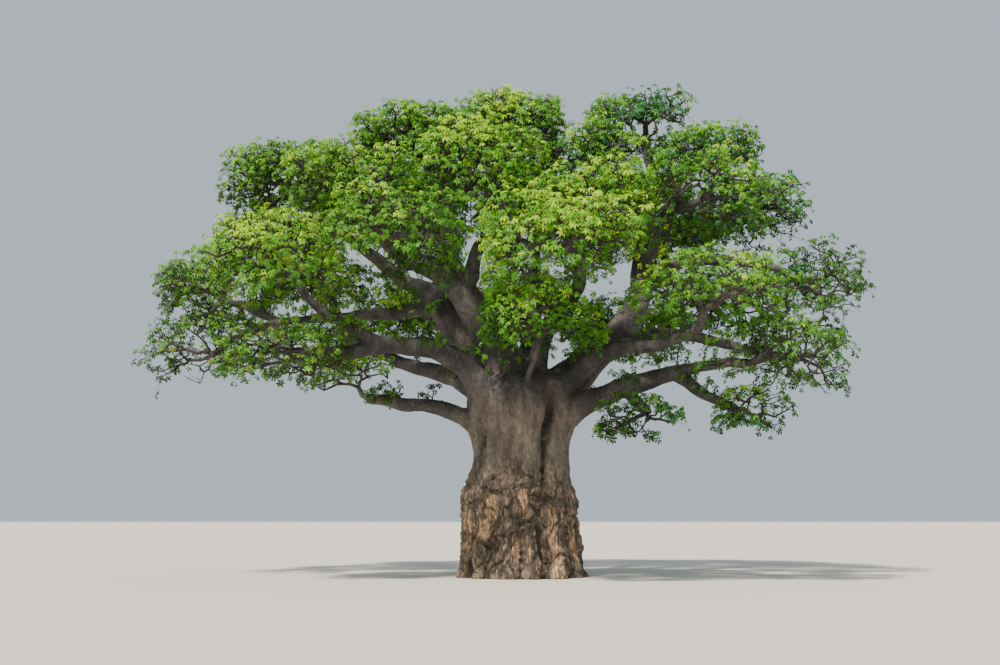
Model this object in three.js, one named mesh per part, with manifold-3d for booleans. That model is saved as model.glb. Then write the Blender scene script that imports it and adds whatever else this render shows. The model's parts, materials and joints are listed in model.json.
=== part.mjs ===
// A baobab in leaf: a barrel trunk with a folded, scarred foot, wide crooked boughs and a flat-topped crown.
// Millimetres, +Z up. The origin is the middle of the flat cut at ground level, and the tree is seen along
// +Y. The tables give heights, reaches and radii in metres, and METRE turns them to millimetres.
import * as THREE from "three";
import { ConvexGeometry } from "three/addons/geometries/ConvexGeometry.js";
import { mergeVertices } from "three/addons/utils/BufferGeometryUtils.js";
import Module from "manifold-3d";

const wasm = await Module();
wasm.setup();

const METRE = 1000;
const CLEARANCE = 0.3; // between touching solids

// Trunk: height and radius of each station up the barrel, and how far its middle stands towards +X.
const TRUNK_STATIONS = [
  { height: 0, radius: 2.36, shift: 0.04 }, // foot
  { height: 0.5, radius: 2.26, shift: 0.02 }, // flare
  { height: 1.6, radius: 2.2, shift: -0.02 }, // barrel
  { height: 2.95, radius: 2.1, shift: -0.12 }, // scar rim
  { height: 3.55, radius: 1.88, shift: -0.06 }, // above scar
  { height: 4.25, radius: 1.76, shift: 0 }, // waist
  { height: 4.9, radius: 1.8, shift: 0 }, // neck
  { height: 5.9, radius: 1.98, shift: 0.05 }, // shoulder
  { height: 6.9, radius: 1.86, shift: 0.05 }, // fork
  { height: 7.5, radius: 1, shift: 0 }, // saddle
];
const TRUNK_TOP = 7.75;
const TRUNK_SIDES = 36;
const TRUNK_RINGS = 15;

// Folds run down the trunk: turn and width in degrees round it (270 faces the viewer), depth as a share of
// the radius, and the heights between which each runs.
const TRUNK_FOLDS = [
  { turn: 302, width: 8, depth: 0.17, low: 3.6, high: 7.2 },
  { turn: 295, width: 7, depth: 0.16, low: -1, high: 2.7 },
  { turn: 243, width: 8, depth: 0.13, low: -1, high: 4.3 },
  { turn: 270, width: 7, depth: 0.07, low: -1, high: 2.4 },
  { turn: 219, width: 8, depth: 0.1, low: 4.1, high: 6.6 },
  { turn: 212, width: 8, depth: 0.12, low: -1, high: 2.6 },
  { turn: 327, width: 8, depth: 0.1, low: -1, high: 3.1 },
  { turn: 171, width: 9, depth: 0.12, low: -1, high: 4.6 },
  { turn: 147, width: 8, depth: 0.11, low: -1, high: 3.2 },
  { turn: 118, width: 9, depth: 0.15, low: -1, high: 6.8 },
  { turn: 84, width: 8, depth: 0.12, low: -1, high: 3.0 },
  { turn: 52, width: 9, depth: 0.15, low: -1, high: 6.2 },
  { turn: 14, width: 9, depth: 0.12, low: -1, high: 3.8 },
];
const FOLD_FADE = 0.9; // a fold dies out over this height

// Limbs: each leaves its parent at a share of the parent's length, or the trunk's axis at a height, and runs
// through a place or two to its tip. Radii are at its root and tip.
const LIMBS = {
  leader_left: {
    on: "trunk",
    at: 6.3,
    via: [[-1.75, 0.35, 8.6]],
    tip: [-3.35, 1.15, 10.5],
    radii: [0.82, 0.58],
  },
  leader_centre: {
    on: "trunk",
    at: 6.6,
    via: [[-1.3, -0.5, 8.95], [-2.6, -0.75, 11.2]],
    tip: [-2.75, -0.3, 13.9],
    radii: [0.8, 0.27],
    collar: 0.9,
  },
  leader_right: {
    on: "trunk",
    at: 5.9,
    via: [[2.35, 0.15, 7.65], [4.1, 0.3, 9.6]],
    tip: [4.95, 0.8, 14.3],
    radii: [0.72, 0.24],
    collar: 0.7,
  },
  bough_left_low: {
    on: "trunk",
    at: 4.9,
    via: [[-2.7, -0.5, 5.95]],
    tip: [-5.45, -1.2, 6.3],
    radii: [0.33, 0.2],
    collar: 1,
  },
  bough_left_mid: {
    on: "trunk",
    at: 5.9,
    via: [[-2.55, -1.75, 7.75], [-4.2, -2.7, 8.05]],
    tip: [-6.0, -3.9, 7.6],
    radii: [0.5, 0.24],
    collar: 0.8,
  },
  bough_left_front: {
    on: "bough_left_mid",
    at: 0.8,
    via: [[-6.1, -4.1, 8.6]],
    tip: [-7.0, -4.7, 9.2],
    radii: [0.2, 0.15],
  },
  bough_left_rear: {
    on: "trunk",
    at: 5.8,
    via: [[-2.3, 1.5, 7.2], [-4.5, 3.6, 8.1]],
    tip: [-6.3, 4.9, 8.9],
    radii: [0.42, 0.2],
  },
  bough_left_long: {
    on: "leader_left",
    at: 0.8,
    via: [[-4.4, 0.95, 9.75], [-6.6, 0.5, 9.45]],
    tip: [-8.5, 0.2, 9.3],
    radii: [0.27, 0.17],
  },
  bough_left_rising: {
    on: "leader_left",
    at: 0.96,
    via: [[-4.6, 1.1, 11.2]],
    tip: [-6.4, 0.6, 12.5],
    radii: [0.3, 0.18],
  },
  bough_upper_left: {
    on: "leader_centre",
    at: 0.55,
    via: [[-3.9, -2.0, 11.0]],
    tip: [-4.9, -3.6, 11.6],
    radii: [0.22, 0.15],
  },
  bough_upper_front: {
    on: "leader_centre",
    at: 0.5,
    via: [[-1.55, -1.5, 11.6]],
    tip: [-0.4, -3.0, 12.5],
    radii: [0.28, 0.17],
  },
  bough_front: {
    on: "trunk",
    at: 6.5,
    via: [[1.0, -0.95, 8.9], [1.9, -2.3, 10.0]],
    tip: [1.9, -5.2, 10.6],
    radii: [0.36, 0.17],
  },
  bough_right_low: {
    on: "trunk",
    at: 5.2,
    via: [[2.8, -1.05, 6.35], [4.3, -1.9, 6.85]],
    tip: [5.75, -2.6, 7.2],
    radii: [0.46, 0.26],
    collar: 1.9,
  },
  bough_right_drooping: {
    on: "bough_right_low",
    at: 0.93,
    via: [[6.2, -2.85, 6.35]],
    tip: [7.2, -3.25, 5.8],
    radii: [0.21, 0.15],
  },
  bough_right_under: {
    on: "bough_right_low",
    at: 0.6,
    via: [[4.2, -2.15, 6.0]],
    tip: [4.35, -2.4, 5.75],
    radii: [0.19, 0.15],
  },
  bough_right_mid: {
    on: "trunk",
    at: 5.9,
    via: [[3.0, -1.7, 7.9], [4.6, -3.2, 8.0]],
    tip: [5.6, -4.6, 8.2],
    radii: [0.42, 0.18],
  },
  bough_right_outer: {
    on: "leader_right",
    at: 0.4,
    via: [[5.7, -0.7, 8.65]],
    tip: [7.9, -1.4, 8.1],
    radii: [0.27, 0.16],
  },
  bough_right_long: {
    on: "leader_right",
    at: 0.63,
    via: [[6.5, -0.2, 11.5]],
    tip: [8.9, -0.8, 11.1],
    radii: [0.24, 0.14],
  },
  bough_right_high: {
    on: "leader_right",
    at: 0.7,
    via: [[5.9, 1.1, 12.85]],
    tip: [7.1, 1.6, 13.3],
    radii: [0.23, 0.16],
  },
  bough_right_front: {
    on: "leader_right",
    at: 0.66,
    via: [[4.9, -1.2, 12.0]],
    tip: [4.9, -2.9, 12.6],
    radii: [0.22, 0.15],
  },
  bough_right_back: {
    on: "leader_right",
    at: 0.55,
    via: [[5.2, 2.4, 11.2]],
    tip: [5.9, 4.0, 11.6],
    radii: [0.26, 0.17],
  },
  bough_rear_left: {
    on: "trunk",
    at: 6.1,
    via: [[-1.5, 2.2, 7.9], [-2.6, 4.2, 9.2]],
    tip: [-3.4, 5.8, 10.0],
    radii: [0.5, 0.2],
  },
  bough_rear: {
    on: "trunk",
    at: 6.4,
    via: [[0.45, 1.4, 8.9]],
    tip: [0.7, 4.4, 11.7],
    radii: [0.52, 0.22],
  },
  bough_rear_right: {
    on: "trunk",
    at: 5.8,
    via: [[2.1, 2.0, 7.4], [3.5, 4.0, 8.4]],
    tip: [4.6, 5.8, 9.1],
    radii: [0.5, 0.2],
  },
};
const LIMB_SIDES = 8;
const LIMB_STEP = 1.15; // longest ring spacing
const LEAST_LIMB_STEPS = 3;
const ROOT_ASIDE = 0.45; // from the trunk's axis to a limb's root, so that limbs part inside the trunk
const COLLAR_SWELL = 0.45; // extra radius where a limb leaves its parent, as a share
const COLLAR_LENGTH = 0.5;

// Masses of foliage: the limb whose tip feeds each, its middle and half sizes, and how many sprays it has if
// not SPRAYS. One grows straight from the trunk, at its root.
const SPRAYS = 9;
const MASSES = {
  left_low: { tip: "bough_left_long", middle: [-11.7, -0.6, 7.8], half: [2.3, 2.7, 1.5] },
  left_tip: { tip: "bough_left_long", middle: [-11.1, 0.6, 10.3], half: [2.6, 3.0, 1.9] },
  left_lobe: { tip: "bough_left_rising", middle: [-9.2, -0.7, 11.8], half: [2.8, 3.15, 1.5] },
  left_front_low: { tip: "bough_left_mid", middle: [-8.0, -5.0, 7.5], half: [2.7, 2.85, 1.5] },
  left_front: { tip: "bough_left_front", middle: [-7.9, -5.4, 10.4], half: [3.1, 3.15, 1.8] },
  left_rear_low: { tip: "bough_left_rear", middle: [-8.5, 6.4, 8.5], half: [3.0, 3.15, 1.7], sprays: 6 },
  left_rear: { tip: "bough_left_rear", middle: [-8.1, 5.7, 11.8], half: [3.1, 3.25, 1.9], sprays: 8 },
  left_twiggy: { tip: "bough_left_low", middle: [-6.1, -1.6, 7.1], half: [1.8, 2.0, 1.2], sprays: 5 },
  upper_left: { tip: "bough_left_rising", middle: [-8.2, 0.9, 14.55], half: [3.1, 3.35, 2.0] },
  upper_left_front: { tip: "bough_upper_left", middle: [-5.4, -3.9, 13.2], half: [3.1, 3.15, 2], sprays: 8 },
  upper_left_rear: { tip: "leader_centre", middle: [-4.7, 5.2, 14.4], half: [3.1, 3.25, 2.0], sprays: 7 },
  top_left: { tip: "leader_centre", middle: [-3.8, 0.6, 15.9], half: [3.3, 3.45, 1.6] },
  top: { tip: "leader_centre", middle: [-0.3, 0.6, 16.3], half: [3.3, 3.5, 1.65] },
  top_rear: { tip: "bough_rear", middle: [0.9, 5.2, 14.8], half: [3.1, 3.25, 2.0], sprays: 7 },
  top_front: { tip: "bough_upper_front", middle: [-1.6, -4.1, 13.4], half: [3.0, 3.05, 2.3] },
  front_left: { tip: "bough_upper_left", middle: [-4.2, -7.2, 11.0], half: [3.0, 2.85, 1.6] },
  front: { tip: "bough_front", middle: [1.0, -8.2, 10.5], half: [3.1, 2.85, 1.7] },
  front_high: { tip: "bough_upper_front", middle: [2.5, -5.3, 12.2], half: [2.9, 2.95, 1.8] },
  front_right: { tip: "bough_right_mid", middle: [6.0, -6.9, 9.3], half: [2.8, 2.95, 1.5] },
  inner_front: {
    tip: "trunk",
    middle: [0.8, -3.3, 8.8],
    half: [2.6, 1.9, 1.6],
    root: [0.1, -1.2, 6.7],
    sprays: 5,
  },
  right_front_low: { tip: "bough_right_low", middle: [8.4, -4.9, 7.3], half: [2.8, 2.95, 1.7], sprays: 8 },
  right_front: { tip: "bough_right_front", middle: [6.0, -4.4, 12.8], half: [2.9, 2.95, 1.8], sprays: 8 },
  right_low: { tip: "bough_right_outer", middle: [10.5, -1.2, 7.5], half: [2.6, 2.7, 1.6], sprays: 6 },
  right_tip: { tip: "bough_right_long", middle: [10.8, -0.8, 10.4], half: [2.3, 2.8, 2.0], sprays: 8 },
  right_hanging: { tip: "bough_right_drooping", middle: [8.0, -3.6, 5.7], half: [1.8, 2.0, 1.0], sprays: 6 },
  right_under: { tip: "bough_right_under", middle: [4.0, -2.9, 5.4], half: [1.8, 1.9, 1.0], sprays: 5 },
  right_high: { tip: "bough_right_high", middle: [8.3, 1.0, 13.55], half: [2.8, 3.15, 1.9], sprays: 8 },
  right_rear: { tip: "bough_right_back", middle: [8.2, 6.3, 10.6], half: [3.1, 3.25, 2.1], sprays: 8 },
  upper_right: { tip: "leader_right", middle: [6.8, -0.1, 15.05], half: [2.8, 3.15, 1.65] },
  dome: { tip: "leader_right", middle: [4.6, 0.9, 16.95], half: [2.5, 2.75, 1.5] },
  upper_right_mid: { tip: "leader_right", middle: [2.7, -0.6, 14.8], half: [2.3, 3.15, 1.7] },
  upper_right_rear: { tip: "bough_right_back", middle: [5.6, 5.2, 13.8], half: [3.0, 3.15, 2.0], sprays: 8 },
  rear: { tip: "bough_rear", middle: [0.2, 9.3, 11.0], half: [3.1, 3.05, 1.9], sprays: 7 },
  rear_left: { tip: "bough_rear_left", middle: [-4.6, 9.1, 10.6], half: [3.0, 3.05, 1.9], sprays: 7 },
  rear_right: { tip: "bough_rear_right", middle: [4.9, 9.3, 9.9], half: [3.1, 3.05, 1.9], sprays: 7 },
};
const CELL_GAP = 40; // between the spaces of two masses
const LIMB_GAP = 60; // between foliage and a limb that it doesn't grow from
const STEM_SHARE = 0.35; // the radius of a stem at its root, as a share of its bough's tip
const STEM_ASIDE = 0.57; // how far from the tip's middle it then stands, as a share of the same
const LONE_STEM_SHARE = 0.7; // the same for a stem that has the tip to itself
const STEM_END = 0.4; // how far from the middle a stem forks, as a share of the mass's half size
const STEM_LEAD = 0.4; // how far a stem runs straight out before it bends, as a share of its reach
const STEM_TAPER = 0.35;
const STEM_STEP = 1300; // longest ring spacing
const LEAST_STEM_STEPS = 2;
const LEAST_STEM_SHARE = 0.5; // of its length before its fork begins
const SHORTEST_STEM = 700;
const TRUNK_STEM_RADIUS = 110;
const STEM_SIDES = 5;
const FORK_REACH = 0.5; // how far a twig runs towards the middle of its tips before it forks
const TWIG_RADIUS = 32; // of a twig that feeds one tip
const TWIG_END = 0.8; // its radius at its spray, as a share
const TWIG_SIDES = 3;
const PIPE_POWER = 2.4; // a twig's radius to this power is shared among the twigs that it feeds
const FORK_SIZE = 3.5; // from a fork's middle to where its twigs run free, in radii of the thickest
const FORK_ROOM = 0.35; // the most of a twig's length that a fork takes
const FAN = 4; // up to this many tips are fed by twigs straight from one fork

// A spray: a hand of blades at a twig's end, larger than life, each blade standing for a tuft of leaves.
const BLADES = 5;
const BLADE_LENGTH = 1550;
const NOTCH_SHARE = 0.47; // where two blades meet, as a share of their length
const SPRAY_THICKNESS = 150; // at its middle
const SPRAY_DROOP = 0.2; // how far a blade's tip hangs, as a share of its length
const SPRAY_LIFT = 0.55; // how far a spray's face turns from its twig's way to the sky
const SPRAY_SIZES = [1, 0.85, 0.7, 0.55, 0.45]; // the sizes tried, largest first
const SPRAY_SPACING = 0.95; // between the middles of two sprays, in blade lengths
const SPRAY_SHELL = [0.42, 0.86]; // where a spray's middle may stand, from the mass's middle to its outside
const LOWEST_SPRAY = -0.75; // 1 is straight up from the mass's middle and -1 straight down
const DARTS = 260; // places tried

const BARK = new THREE.MeshStandardMaterial({ color: "#7d6e60", roughness: 0.92, metalness: 0 });
const LIMB_BARK = new THREE.MeshStandardMaterial({ color: "#6a625b", roughness: 0.9, metalness: 0 });
const LEAF = new THREE.MeshStandardMaterial({ color: "#6f9431", roughness: 0.6, metalness: 0 });

const STEEP = 0.9; // a direction with more upward share than this is squared to +X, not to +Z
const POLE = 0.9; // corners of a unit sphere beyond this height are its poles

const UP = new THREE.Vector3(0, 0, 1);
const RIGHT = new THREE.Vector3(1, 0, 0);
const FORWARD = new THREE.Vector3(0, -1, 0);
const vector = ([x, y, z]) => new THREE.Vector3(x, y, z).multiplyScalar(METRE);

function meanOf(places) {
  const sum = places.reduce((total, place) => total.add(place), new THREE.Vector3());
  return sum.divideScalar(places.length);
}

// A closed geometry as a manifold solid.
function solidOf(geometry) {
  geometry.deleteAttribute("normal");
  geometry.deleteAttribute("uv");
  const merged = mergeVertices(geometry);
  const corners = Array.from(merged.index.array);
  const kept = [];
  for (let i = 0; i < corners.length; i += 3) {
    const [a, b, c] = corners.slice(i, i + 3);
    if (a !== b && b !== c && c !== a) kept.push(a, b, c);
  }
  const mesh = new wasm.Mesh({
    numProp: 3,
    vertProperties: merged.attributes.position.array,
    triVerts: new Uint32Array(kept),
  });
  return new wasm.Manifold(mesh);
}

// The largest body of a solid: loose scraps are dropped.
const largest = (solid) => solid.decompose().reduce((a, b) => (a.volume() > b.volume() ? a : b));

const boxesMeet = (a, b) => {
  const [p, q] = [a.boundingBox(), b.boundingBox()];
  return [0, 1, 2].every((k) => p.min[k] <= q.max[k] && q.min[k] <= p.max[k]);
};
const meets = (solid, others) =>
  others.some((other) => boxesMeet(solid, other) && !solid.intersect(other).isEmpty());

function meshOf(name, solid, material) {
  const { vertProperties, triVerts } = solid.getMesh();
  const geometry = new THREE.BufferGeometry()
    .setAttribute("position", new THREE.BufferAttribute(new Float32Array(vertProperties), 3))
    .setIndex(new THREE.BufferAttribute(new Uint32Array(triVerts), 1));
  geometry.computeVertexNormals();
  const mesh = new THREE.Mesh(geometry, material);
  mesh.name = name;
  return mesh;
}

// Repeatable random numbers from 0 to 1 for each name: a name's hash starts a mixing generator.
function seeded(name) {
  const mix = (sum, letter) => Math.imul(sum ^ letter.charCodeAt(0), 16777619);
  let state = [...name].reduce(mix, 2166136261);
  return () => {
    state = (state + 0x6d2b79f5) | 0;
    let t = Math.imul(state ^ (state >>> 15), 1 | state);
    t = (t + Math.imul(t ^ (t >>> 7), 61 | t)) ^ t;
    return ((t ^ (t >>> 14)) >>> 0) / 4294967296;
  };
}

// Trunk
const trunkProfile = new THREE.SplineCurve(
  TRUNK_STATIONS.map(({ height, radius }) => new THREE.Vector2(radius, height).multiplyScalar(METRE)),
);

// What a station gives as "radius" or "shift", read at any height, in millimetres.
function trunkAt(what, height) {
  const next = TRUNK_STATIONS.findIndex((station) => station.height * METRE > height);
  if (next <= 0) return TRUNK_STATIONS.at(next)[what] * METRE;
  const [low, high] = TRUNK_STATIONS.slice(next - 1, next + 1);
  return THREE.MathUtils.mapLinear(height / METRE, low.height, high.height, low[what], high[what]) * METRE;
}

// How much of the radius is left at a turn and height, after the folds.
function foldedShare(turn, height) {
  return TRUNK_FOLDS.reduce((share, fold) => {
    const off = THREE.MathUtils.euclideanModulo(turn - fold.turn + 180, 360) - 180;
    const rise = THREE.MathUtils.smoothstep(height / METRE, fold.low - FOLD_FADE, fold.low + FOLD_FADE);
    const fall = 1 - THREE.MathUtils.smoothstep(height / METRE, fold.high - FOLD_FADE, fold.high + FOLD_FADE);
    return share - fold.depth * rise * fall * Math.exp(-((off / fold.width) ** 2));
  }, 1);
}

function trunkSolid(grow = 0) {
  const wall = trunkProfile.getPoints(TRUNK_RINGS).map((p) => new THREE.Vector2(p.x + grow, p.y));
  const profile = [new THREE.Vector2(0, 0), ...wall, new THREE.Vector2(0, TRUNK_TOP * METRE + grow)];
  const geometry = new THREE.LatheGeometry(profile, TRUNK_SIDES).rotateX(Math.PI / 2);
  const place = geometry.attributes.position;
  for (let i = 0; i < place.count; i++) {
    const [x, y, z] = [place.getX(i), place.getY(i), place.getZ(i)];
    const share = foldedShare(THREE.MathUtils.radToDeg(Math.atan2(y, x)), z);
    place.setXY(i, x * share + trunkAt("shift", z), y * share);
  }
  return solidOf(geometry);
}

// Limbs
const limbs = {};

function addLimb(name, { on, at, via, tip, radii, collar = COLLAR_SWELL }) {
  const places = [...via, tip].map(vector);
  const start = on === "trunk" ? new THREE.Vector3(0, 0, at * METRE) : limbs[on].curve.getPointAt(at);
  if (on === "trunk") start.addScaledVector(places[0].clone().setZ(0).normalize(), ROOT_ASIDE * METRE);
  const curve = new THREE.CatmullRomCurve3([start, ...places], false, "centripetal");
  const length = curve.getLength();
  const [root, end] = radii.map((r) => r * METRE);
  const radiusAt = (share) =>
    THREE.MathUtils.lerp(root, end, share) *
    (1 + collar * Math.exp((-share * length) / (COLLAR_LENGTH * METRE + root)));
  const steps = Math.max(LEAST_LIMB_STEPS, Math.ceil(length / (LIMB_STEP * METRE)));
  limbs[name] = { curve, radiusAt, steps };
}

// A closed tube along a limb's curve: an upright cylinder whose rings are moved onto the curve.
function limbTube({ curve, radiusAt, steps }, grow = 0) {
  const geometry = new THREE.CylinderGeometry(1, 1, 1, LIMB_SIDES, steps);
  const frames = curve.computeFrenetFrames(steps, false);
  const place = geometry.attributes.position;
  for (let i = 0; i < place.count; i++) {
    const step = Math.round((place.getY(i) + 0.5) * steps);
    const radius = radiusAt(step / steps) + grow;
    const overrun = step === 0 ? -grow : step === steps ? grow : 0;
    const point = curve
      .getPointAt(step / steps)
      .addScaledVector(frames.tangents[step], overrun)
      .addScaledVector(frames.normals[step], place.getX(i) * radius)
      .addScaledVector(frames.binormals[step], -place.getZ(i) * radius);
    place.setXYZ(i, point.x, point.y, point.z);
  }
  return solidOf(geometry);
}

// Masses
const half = (mass) => vector(mass.half);

// The planes that part a mass from its neighbours, facing out.
function cellOf(name) {
  const mass = MASSES[name];
  const middle = vector(mass.middle);
  const planes = [];
  for (const [other, neighbour] of Object.entries(MASSES)) {
    if (other === name) continue;
    const apart = vector(neighbour.middle).sub(middle);
    const way = apart.clone().normalize();
    const mine = half(mass).multiply(way).length();
    const theirs = half(neighbour).multiply(way).length();
    if (mine + theirs < apart.length()) continue;
    const far = (apart.length() * mine) / (mine + theirs) - CELL_GAP / 2;
    const point = middle.clone().addScaledVector(way, far);
    planes.push(new THREE.Plane().setFromNormalAndCoplanarPoint(way, point));
  }
  return planes;
}

function insideCell(point, mass, planes) {
  const own = point.clone().sub(vector(mass.middle)).divide(half(mass));
  return own.length() <= 1 && planes.every((plane) => plane.distanceToPoint(point) < 0);
}

// The stem of a mass: from its bough's tip, square to the tip's face, bending to its fork inside the mass.
// Stems that share a tip stand apart on it, each on the side of its own mass.
function stemOf(name) {
  const { tip, middle, root: trunkRoot } = MASSES[name];
  const fellows = Object.values(MASSES).filter((other) => other.tip === tip);
  const limb = limbs[tip];
  const out = trunkRoot ? FORWARD : limb.curve.getTangentAt(1);
  const aside = new THREE.Vector3();
  if (fellows.length > 1) {
    const shared = meanOf(fellows.map((other) => vector(other.middle)));
    aside.copy(vector(middle)).sub(shared).projectOnPlane(out);
    aside.setLength(limb.radiusAt(1) * STEM_ASIDE);
  }
  const root = trunkRoot
    ? vector(trunkRoot)
    : limb.curve.getPointAt(1).add(aside).addScaledVector(out, CLEARANCE);
  const share = fellows.length > 1 ? STEM_SHARE : LONE_STEM_SHARE;
  const rootRadius = trunkRoot ? TRUNK_STEM_RADIUS : limb.radiusAt(1) * share;

  const reach = half(MASSES[name]);
  const back = root.clone().sub(vector(middle)).divide(reach).normalize();
  const fork = vector(middle).add(back.multiply(reach).multiplyScalar(STEM_END));
  const short = SHORTEST_STEM - root.distanceTo(fork);
  if (short > 0) fork.addScaledVector(vector(middle).sub(root).normalize(), short);
  const lead = root.clone().addScaledVector(out, root.distanceTo(fork) * STEM_LEAD);
  const curve = new THREE.QuadraticBezierCurve3(root, lead, fork);
  const length = curve.getLength();
  const radiusAt = (along) => rootRadius * (1 - STEM_TAPER * along);
  return { curve, radiusAt, length, steps: Math.max(LEAST_STEM_STEPS, Math.ceil(length / STEM_STEP)) };
}

// The corners of a ring round a line, for twigs, stems and the forks that join them.
function ringAt(centre, way, radius, sides) {
  const steady = Math.abs(way.z) > STEEP ? RIGHT : UP;
  const side = new THREE.Vector3().crossVectors(way, steady).normalize();
  return Array.from({ length: sides }, (_, i) =>
    side
      .clone()
      .applyAxisAngle(way, (2 * Math.PI * i) / sides)
      .multiplyScalar(radius)
      .add(centre),
  );
}

const hullOf = (...rings) => solidOf(new ConvexGeometry(rings.flat()));

// A star of blades, thickest at its middle. One ring of a sphere is drawn out into the blades, and its lower
// ring and pole are gathered to the corners of the twig's end.
function sprayOf({ place, face, turn, size }, ring) {
  const geometry = new THREE.SphereGeometry(1, 2 * BLADES, 3);
  const toSpray = new THREE.Quaternion().setFromUnitVectors(new THREE.Vector3(0, 1, 0), face);
  const across = new THREE.Vector3(1, 0, 0).applyQuaternion(toSpray);
  const over = new THREE.Vector3(0, 0, 1).applyQuaternion(toSpray);
  const corners = ring.map((corner) => {
    const off = corner.clone().sub(place);
    return { corner, angle: Math.atan2(off.dot(over), off.dot(across)) };
  });
  const turnsApart = (a, b) =>
    Math.abs(THREE.MathUtils.euclideanModulo(a - b + Math.PI, 2 * Math.PI) - Math.PI);
  const at = geometry.attributes.position;
  for (let i = 0; i < at.count; i++) {
    const [x, y, z] = [at.getX(i), at.getY(i), at.getZ(i)];
    const step = Math.round((Math.atan2(z, x) * BLADES) / Math.PI);
    const angle = (step * Math.PI) / BLADES + turn;
    let point;
    if (y > POLE) {
      point = place.clone().addScaledVector(face, SPRAY_THICKNESS / 2);
    } else if (y > 0) {
      const reach = BLADE_LENGTH * size * (step % 2 === 0 ? 1 : NOTCH_SHARE);
      point = place
        .clone()
        .addScaledVector(across, reach * Math.cos(angle))
        .addScaledVector(over, reach * Math.sin(angle))
        .addScaledVector(face, -SPRAY_DROOP * reach);
    } else if (y > -POLE) {
      const nearer = (a, b) => (turnsApart(a.angle, angle) < turnsApart(b.angle, angle) ? a : b);
      point = corners.reduce(nearer).corner;
    } else {
      point = ring[0];
    }
    at.setXYZ(i, point.x, point.y, point.z);
  }
  return geometry;
}

// The twig's end that a spray sits on.
const sprayRing = ({ place, face }, way) =>
  ringAt(place.clone().addScaledVector(face, -SPRAY_THICKNESS / 2), way, TWIG_RADIUS * TWIG_END, TWIG_SIDES);

// Places for a mass's sprays: darts thrown at its outer shell, each kept if a spray there and a straight twig
// to it stay in the mass's own space, clear of limbs and of the sprays before it. Full-sized sprays are
// dealt first.
function seatSprays(name, fork, obstacles, random) {
  const mass = MASSES[name];
  const { sprays = SPRAYS } = mass;
  const planes = cellOf(name);
  const darts = Array.from({ length: DARTS }, () => {
    const up = THREE.MathUtils.lerp(LOWEST_SPRAY, 1, random());
    const turn = 2 * Math.PI * random();
    const flat = Math.sqrt(1 - up * up);
    const depth = THREE.MathUtils.lerp(...SPRAY_SHELL, Math.sqrt(random()));
    const way = new THREE.Vector3(flat * Math.cos(turn), flat * Math.sin(turn), up);
    const place = vector(mass.middle).add(way.multiply(half(mass)).multiplyScalar(depth));
    return { place, turn: 2 * Math.PI * random() };
  });
  const seats = [];
  for (const size of SPRAY_SIZES) {
    for (const { place, turn } of darts) {
      if (seats.length >= sprays) return seats;
      const space = (other) => (SPRAY_SPACING * BLADE_LENGTH * (other.size + size)) / 2;
      const apart = (other) => other.place.distanceTo(place) > space(other);
      if (!insideCell(place, mass, planes) || !seats.every(apart)) continue;
      const way = place.clone().sub(fork).normalize();
      const face = way.clone().addScaledVector(UP, SPRAY_LIFT).normalize();
      const seat = { place, face, turn, size };
      const star = sprayOf(seat, sprayRing(seat, way));
      const corners = cornersOf(star);
      if (!corners.every((corner) => insideCell(corner, mass, planes))) continue;
      const solid = solidOf(star);
      const reach = hullOf(ringAt(fork, way, TWIG_RADIUS, TWIG_SIDES), sprayRing(seat, way));
      if (meets(solid, seats.flatMap((other) => [other.solid, other.reach]).concat(obstacles))) continue;
      if (meets(reach, seats.map((other) => other.solid).concat(obstacles))) continue;
      seats.push({ ...seat, solid, reach });
    }
  }
  return seats;
}

// Twigs fork by halving: the sprays that a fork feeds part into two groups across their widest spread, and a
// twig runs part way to the middle of each group and forks again, until few enough are left to be reached
// straight.
function twigsFrom(from, seats) {
  if (seats.length <= FAN) return seats.map((seat) => ({ from, to: seat.place, seat, feeds: 1, next: [] }));
  const places = seats.map((seat) => seat.place);
  const farthest = (place) => places.reduce((a, b) => (a.distanceTo(place) > b.distanceTo(place) ? a : b));
  const edge = farthest(meanOf(places));
  const across = farthest(edge).clone().sub(edge);
  const ordered = [...seats].sort((a, b) => a.place.dot(across) - b.place.dot(across));
  const split = Math.ceil(seats.length / 2);
  return [ordered.slice(0, split), ordered.slice(split)].map((group) => {
    const to = from.clone().lerp(meanOf(group.map((seat) => seat.place)), FORK_REACH);
    return { from, to, feeds: group.length, next: twigsFrom(to, group) };
  });
}

const twigRadius = (feeds) => TWIG_RADIUS * feeds ** (1 / PIPE_POWER);

// The solids of a fork, of the twigs that leave it and of all that they carry. The fork is the hull of the
// rings that meet at it, so each twig joins it face to face.
function growFork(arriving, size, twigs, obstacles, solids) {
  const rings = [arriving];
  for (const twig of twigs) {
    const { from, to, feeds, seat, next } = twig;
    const radius = twigRadius(feeds);
    const way = to.clone().sub(from).normalize();
    const room = from.distanceTo(to) * FORK_ROOM;
    const start = ringAt(from.clone().addScaledVector(way, Math.min(size, room)), way, radius, TWIG_SIDES);
    const nextSize = radius * FORK_SIZE;
    const joint = to.clone().addScaledVector(way, -Math.min(nextSize, room));
    const end = seat ? sprayRing(seat, way) : ringAt(joint, way, radius, TWIG_SIDES);
    const solid = hullOf(start, end);
    if (meets(solid, obstacles)) continue;
    rings.push(start);
    solids.push(solid);
    if (seat) solids.push(solidOf(sprayOf(seat, end)));
    else growFork(end, nextSize, next, obstacles, solids);
  }
  solids.push(hullOf(...rings));
}

function cornersOf(geometry) {
  const at = geometry.attributes.position;
  return Array.from({ length: at.count }, (_, i) => new THREE.Vector3().fromBufferAttribute(at, i));
}

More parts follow.
